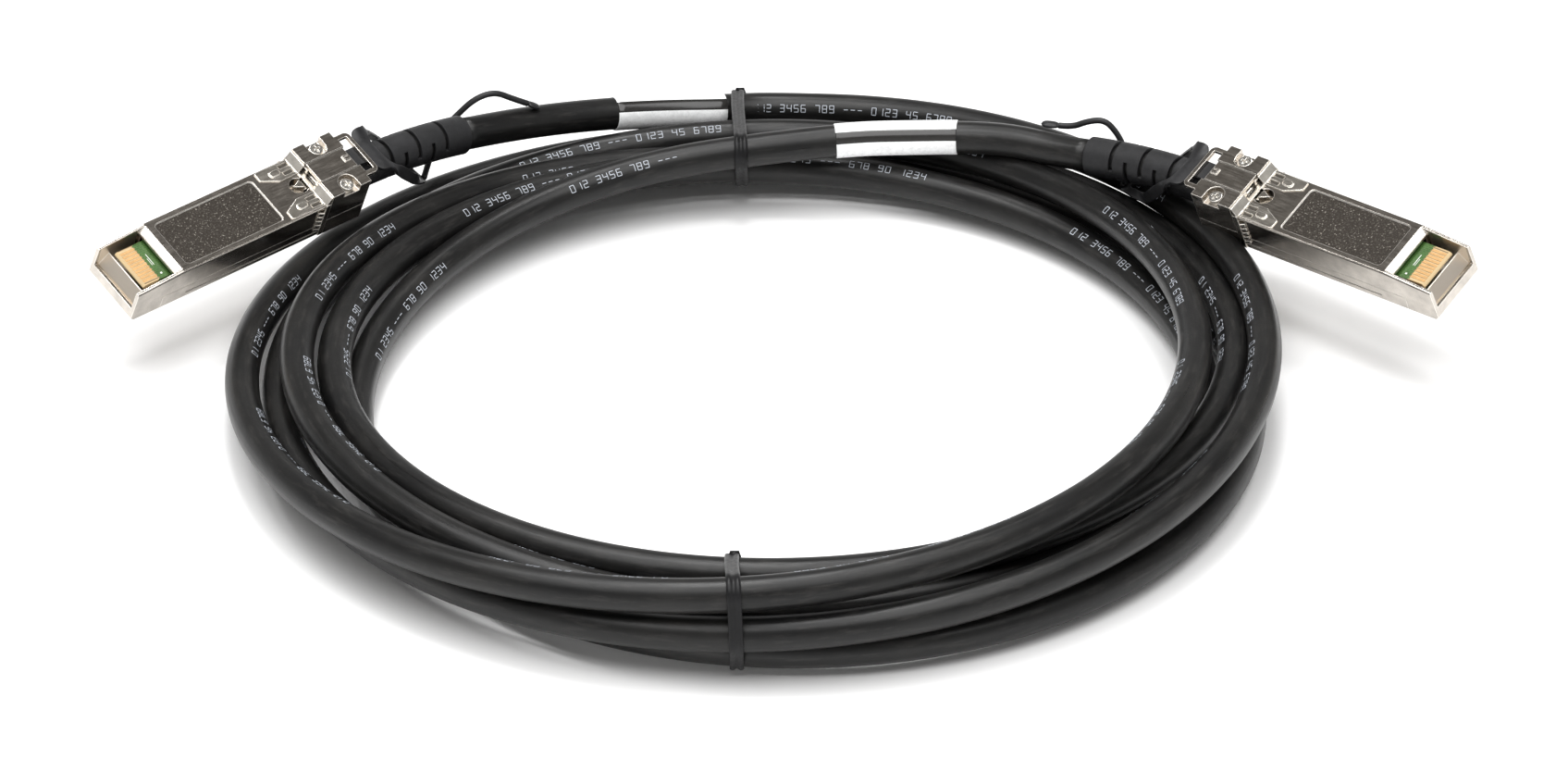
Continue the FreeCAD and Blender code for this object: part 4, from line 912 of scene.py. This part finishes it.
for side in PLUGS:
    shell = metal_material("shell_nickel_" + side, side, NICKEL, EDGE_HIGHLIGHT_TINT, 0.14, recess=True)
    collar = metal_material("collar_nickel_" + side, side, (0.80, 0.76, 0.69), EDGE_HIGHLIGHT_TINT, 0.16)
    steel = metal_material("screw_steel_" + side, side, (0.78, 0.76, 0.72), EDGE_HIGHLIGHT_TINT, 0.18)
    for node, material in (("cover_shell", shell), ("base_shell", shell), ("emi_collar", collar),
                           ("latch_slider", shell), ("latch_rocker", collar), ("rocker_pin", steel),
                           ("shell_screws", steel), ("circuit_board", board_material(side)),
                           ("edge_contacts", GOLD), ("crimp_ferrule", FERRULE),
                           ("cable_boot", BOOT_BLACK)):
        dress(node + "_" + side, material)

# ---------------------------------------------------------------- floor, light and background
FLOOR_HALF = 3
floor_corners = [(x * FLOOR_HALF, y * FLOOR_HALF, 0) for x, y in ((-1, -1), (1, -1), (1, 1), (-1, 1))]
floor_mesh = mesh_of("floor", floor_corners, [(0, 1, 2, 3)], False)
floor = bpy.data.objects.new("floor", floor_mesh)
bpy.context.collection.objects.link(floor)
floor_shader = Shader("floor_white", Roughness=0.9, Specular_IOR_Level=0.1)
floor_shader.shader.inputs["Base Color"].default_value = (0.93, 0.93, 0.93, 1)
floor_mesh.materials.append(floor_shader.material)


def area_light(name, location, size_x, size_y, power):
    """A rectangular lamp that faces the origin."""
    data = bpy.data.lights.new(name, "AREA")
    data.shape = "RECTANGLE"
    data.size, data.size_y, data.energy = size_x, size_y, power
    lamp = bpy.data.objects.new(name, data)
    lamp.location = location
    lamp.rotation_euler = (-Vector(location)).to_track_quat("-Z", "Y").to_euler()
    bpy.context.collection.objects.link(lamp)


area_light("top_softbox", (0, -0.25, 0.95), size_x=1.3, size_y=0.9, power=14)
area_light("left_strip", (-0.22, 0.1, 0.9), size_x=0.14, size_y=0.6, power=2.2)
sun_data = bpy.data.lights.new("back_light", "SUN")
sun_data.energy = 1.0
sun_data.angle = math.radians(14)
sun = bpy.data.objects.new("back_light", sun_data)
sun.rotation_euler = (math.radians(-24), 0, 0)
bpy.context.collection.objects.link(sun)

# the sky is white at the horizon and dark grey overhead, which gives the metal its dark faces
world = bpy.data.worlds.new("studio")
bpy.context.scene.world = world
world.use_nodes = True
nodes, links = world.node_tree.nodes, world.node_tree.links
nodes.clear()
where = nodes.new("ShaderNodeTexCoord")
split = nodes.new("ShaderNodeSeparateXYZ")
ramp = nodes.new("ShaderNodeValToRGB")
ramp.color_ramp.elements[0].position = 0.0
ramp.color_ramp.elements[0].color = (1, 1, 1, 1)
ramp.color_ramp.elements[1].position = 0.68
ramp.color_ramp.elements[1].color = (0.10, 0.093, 0.085, 1)
background = nodes.new("ShaderNodeBackground")
world_output = nodes.new("ShaderNodeOutputWorld")
links.new(where.outputs["Generated"], split.inputs["Vector"])
links.new(split.outputs["Z"], ramp.inputs["Fac"])
links.new(ramp.outputs["Color"], background.inputs["Color"])
links.new(background.outputs["Background"], world_output.inputs["Surface"])
bpy.context.scene.view_settings.view_transform = "Standard"
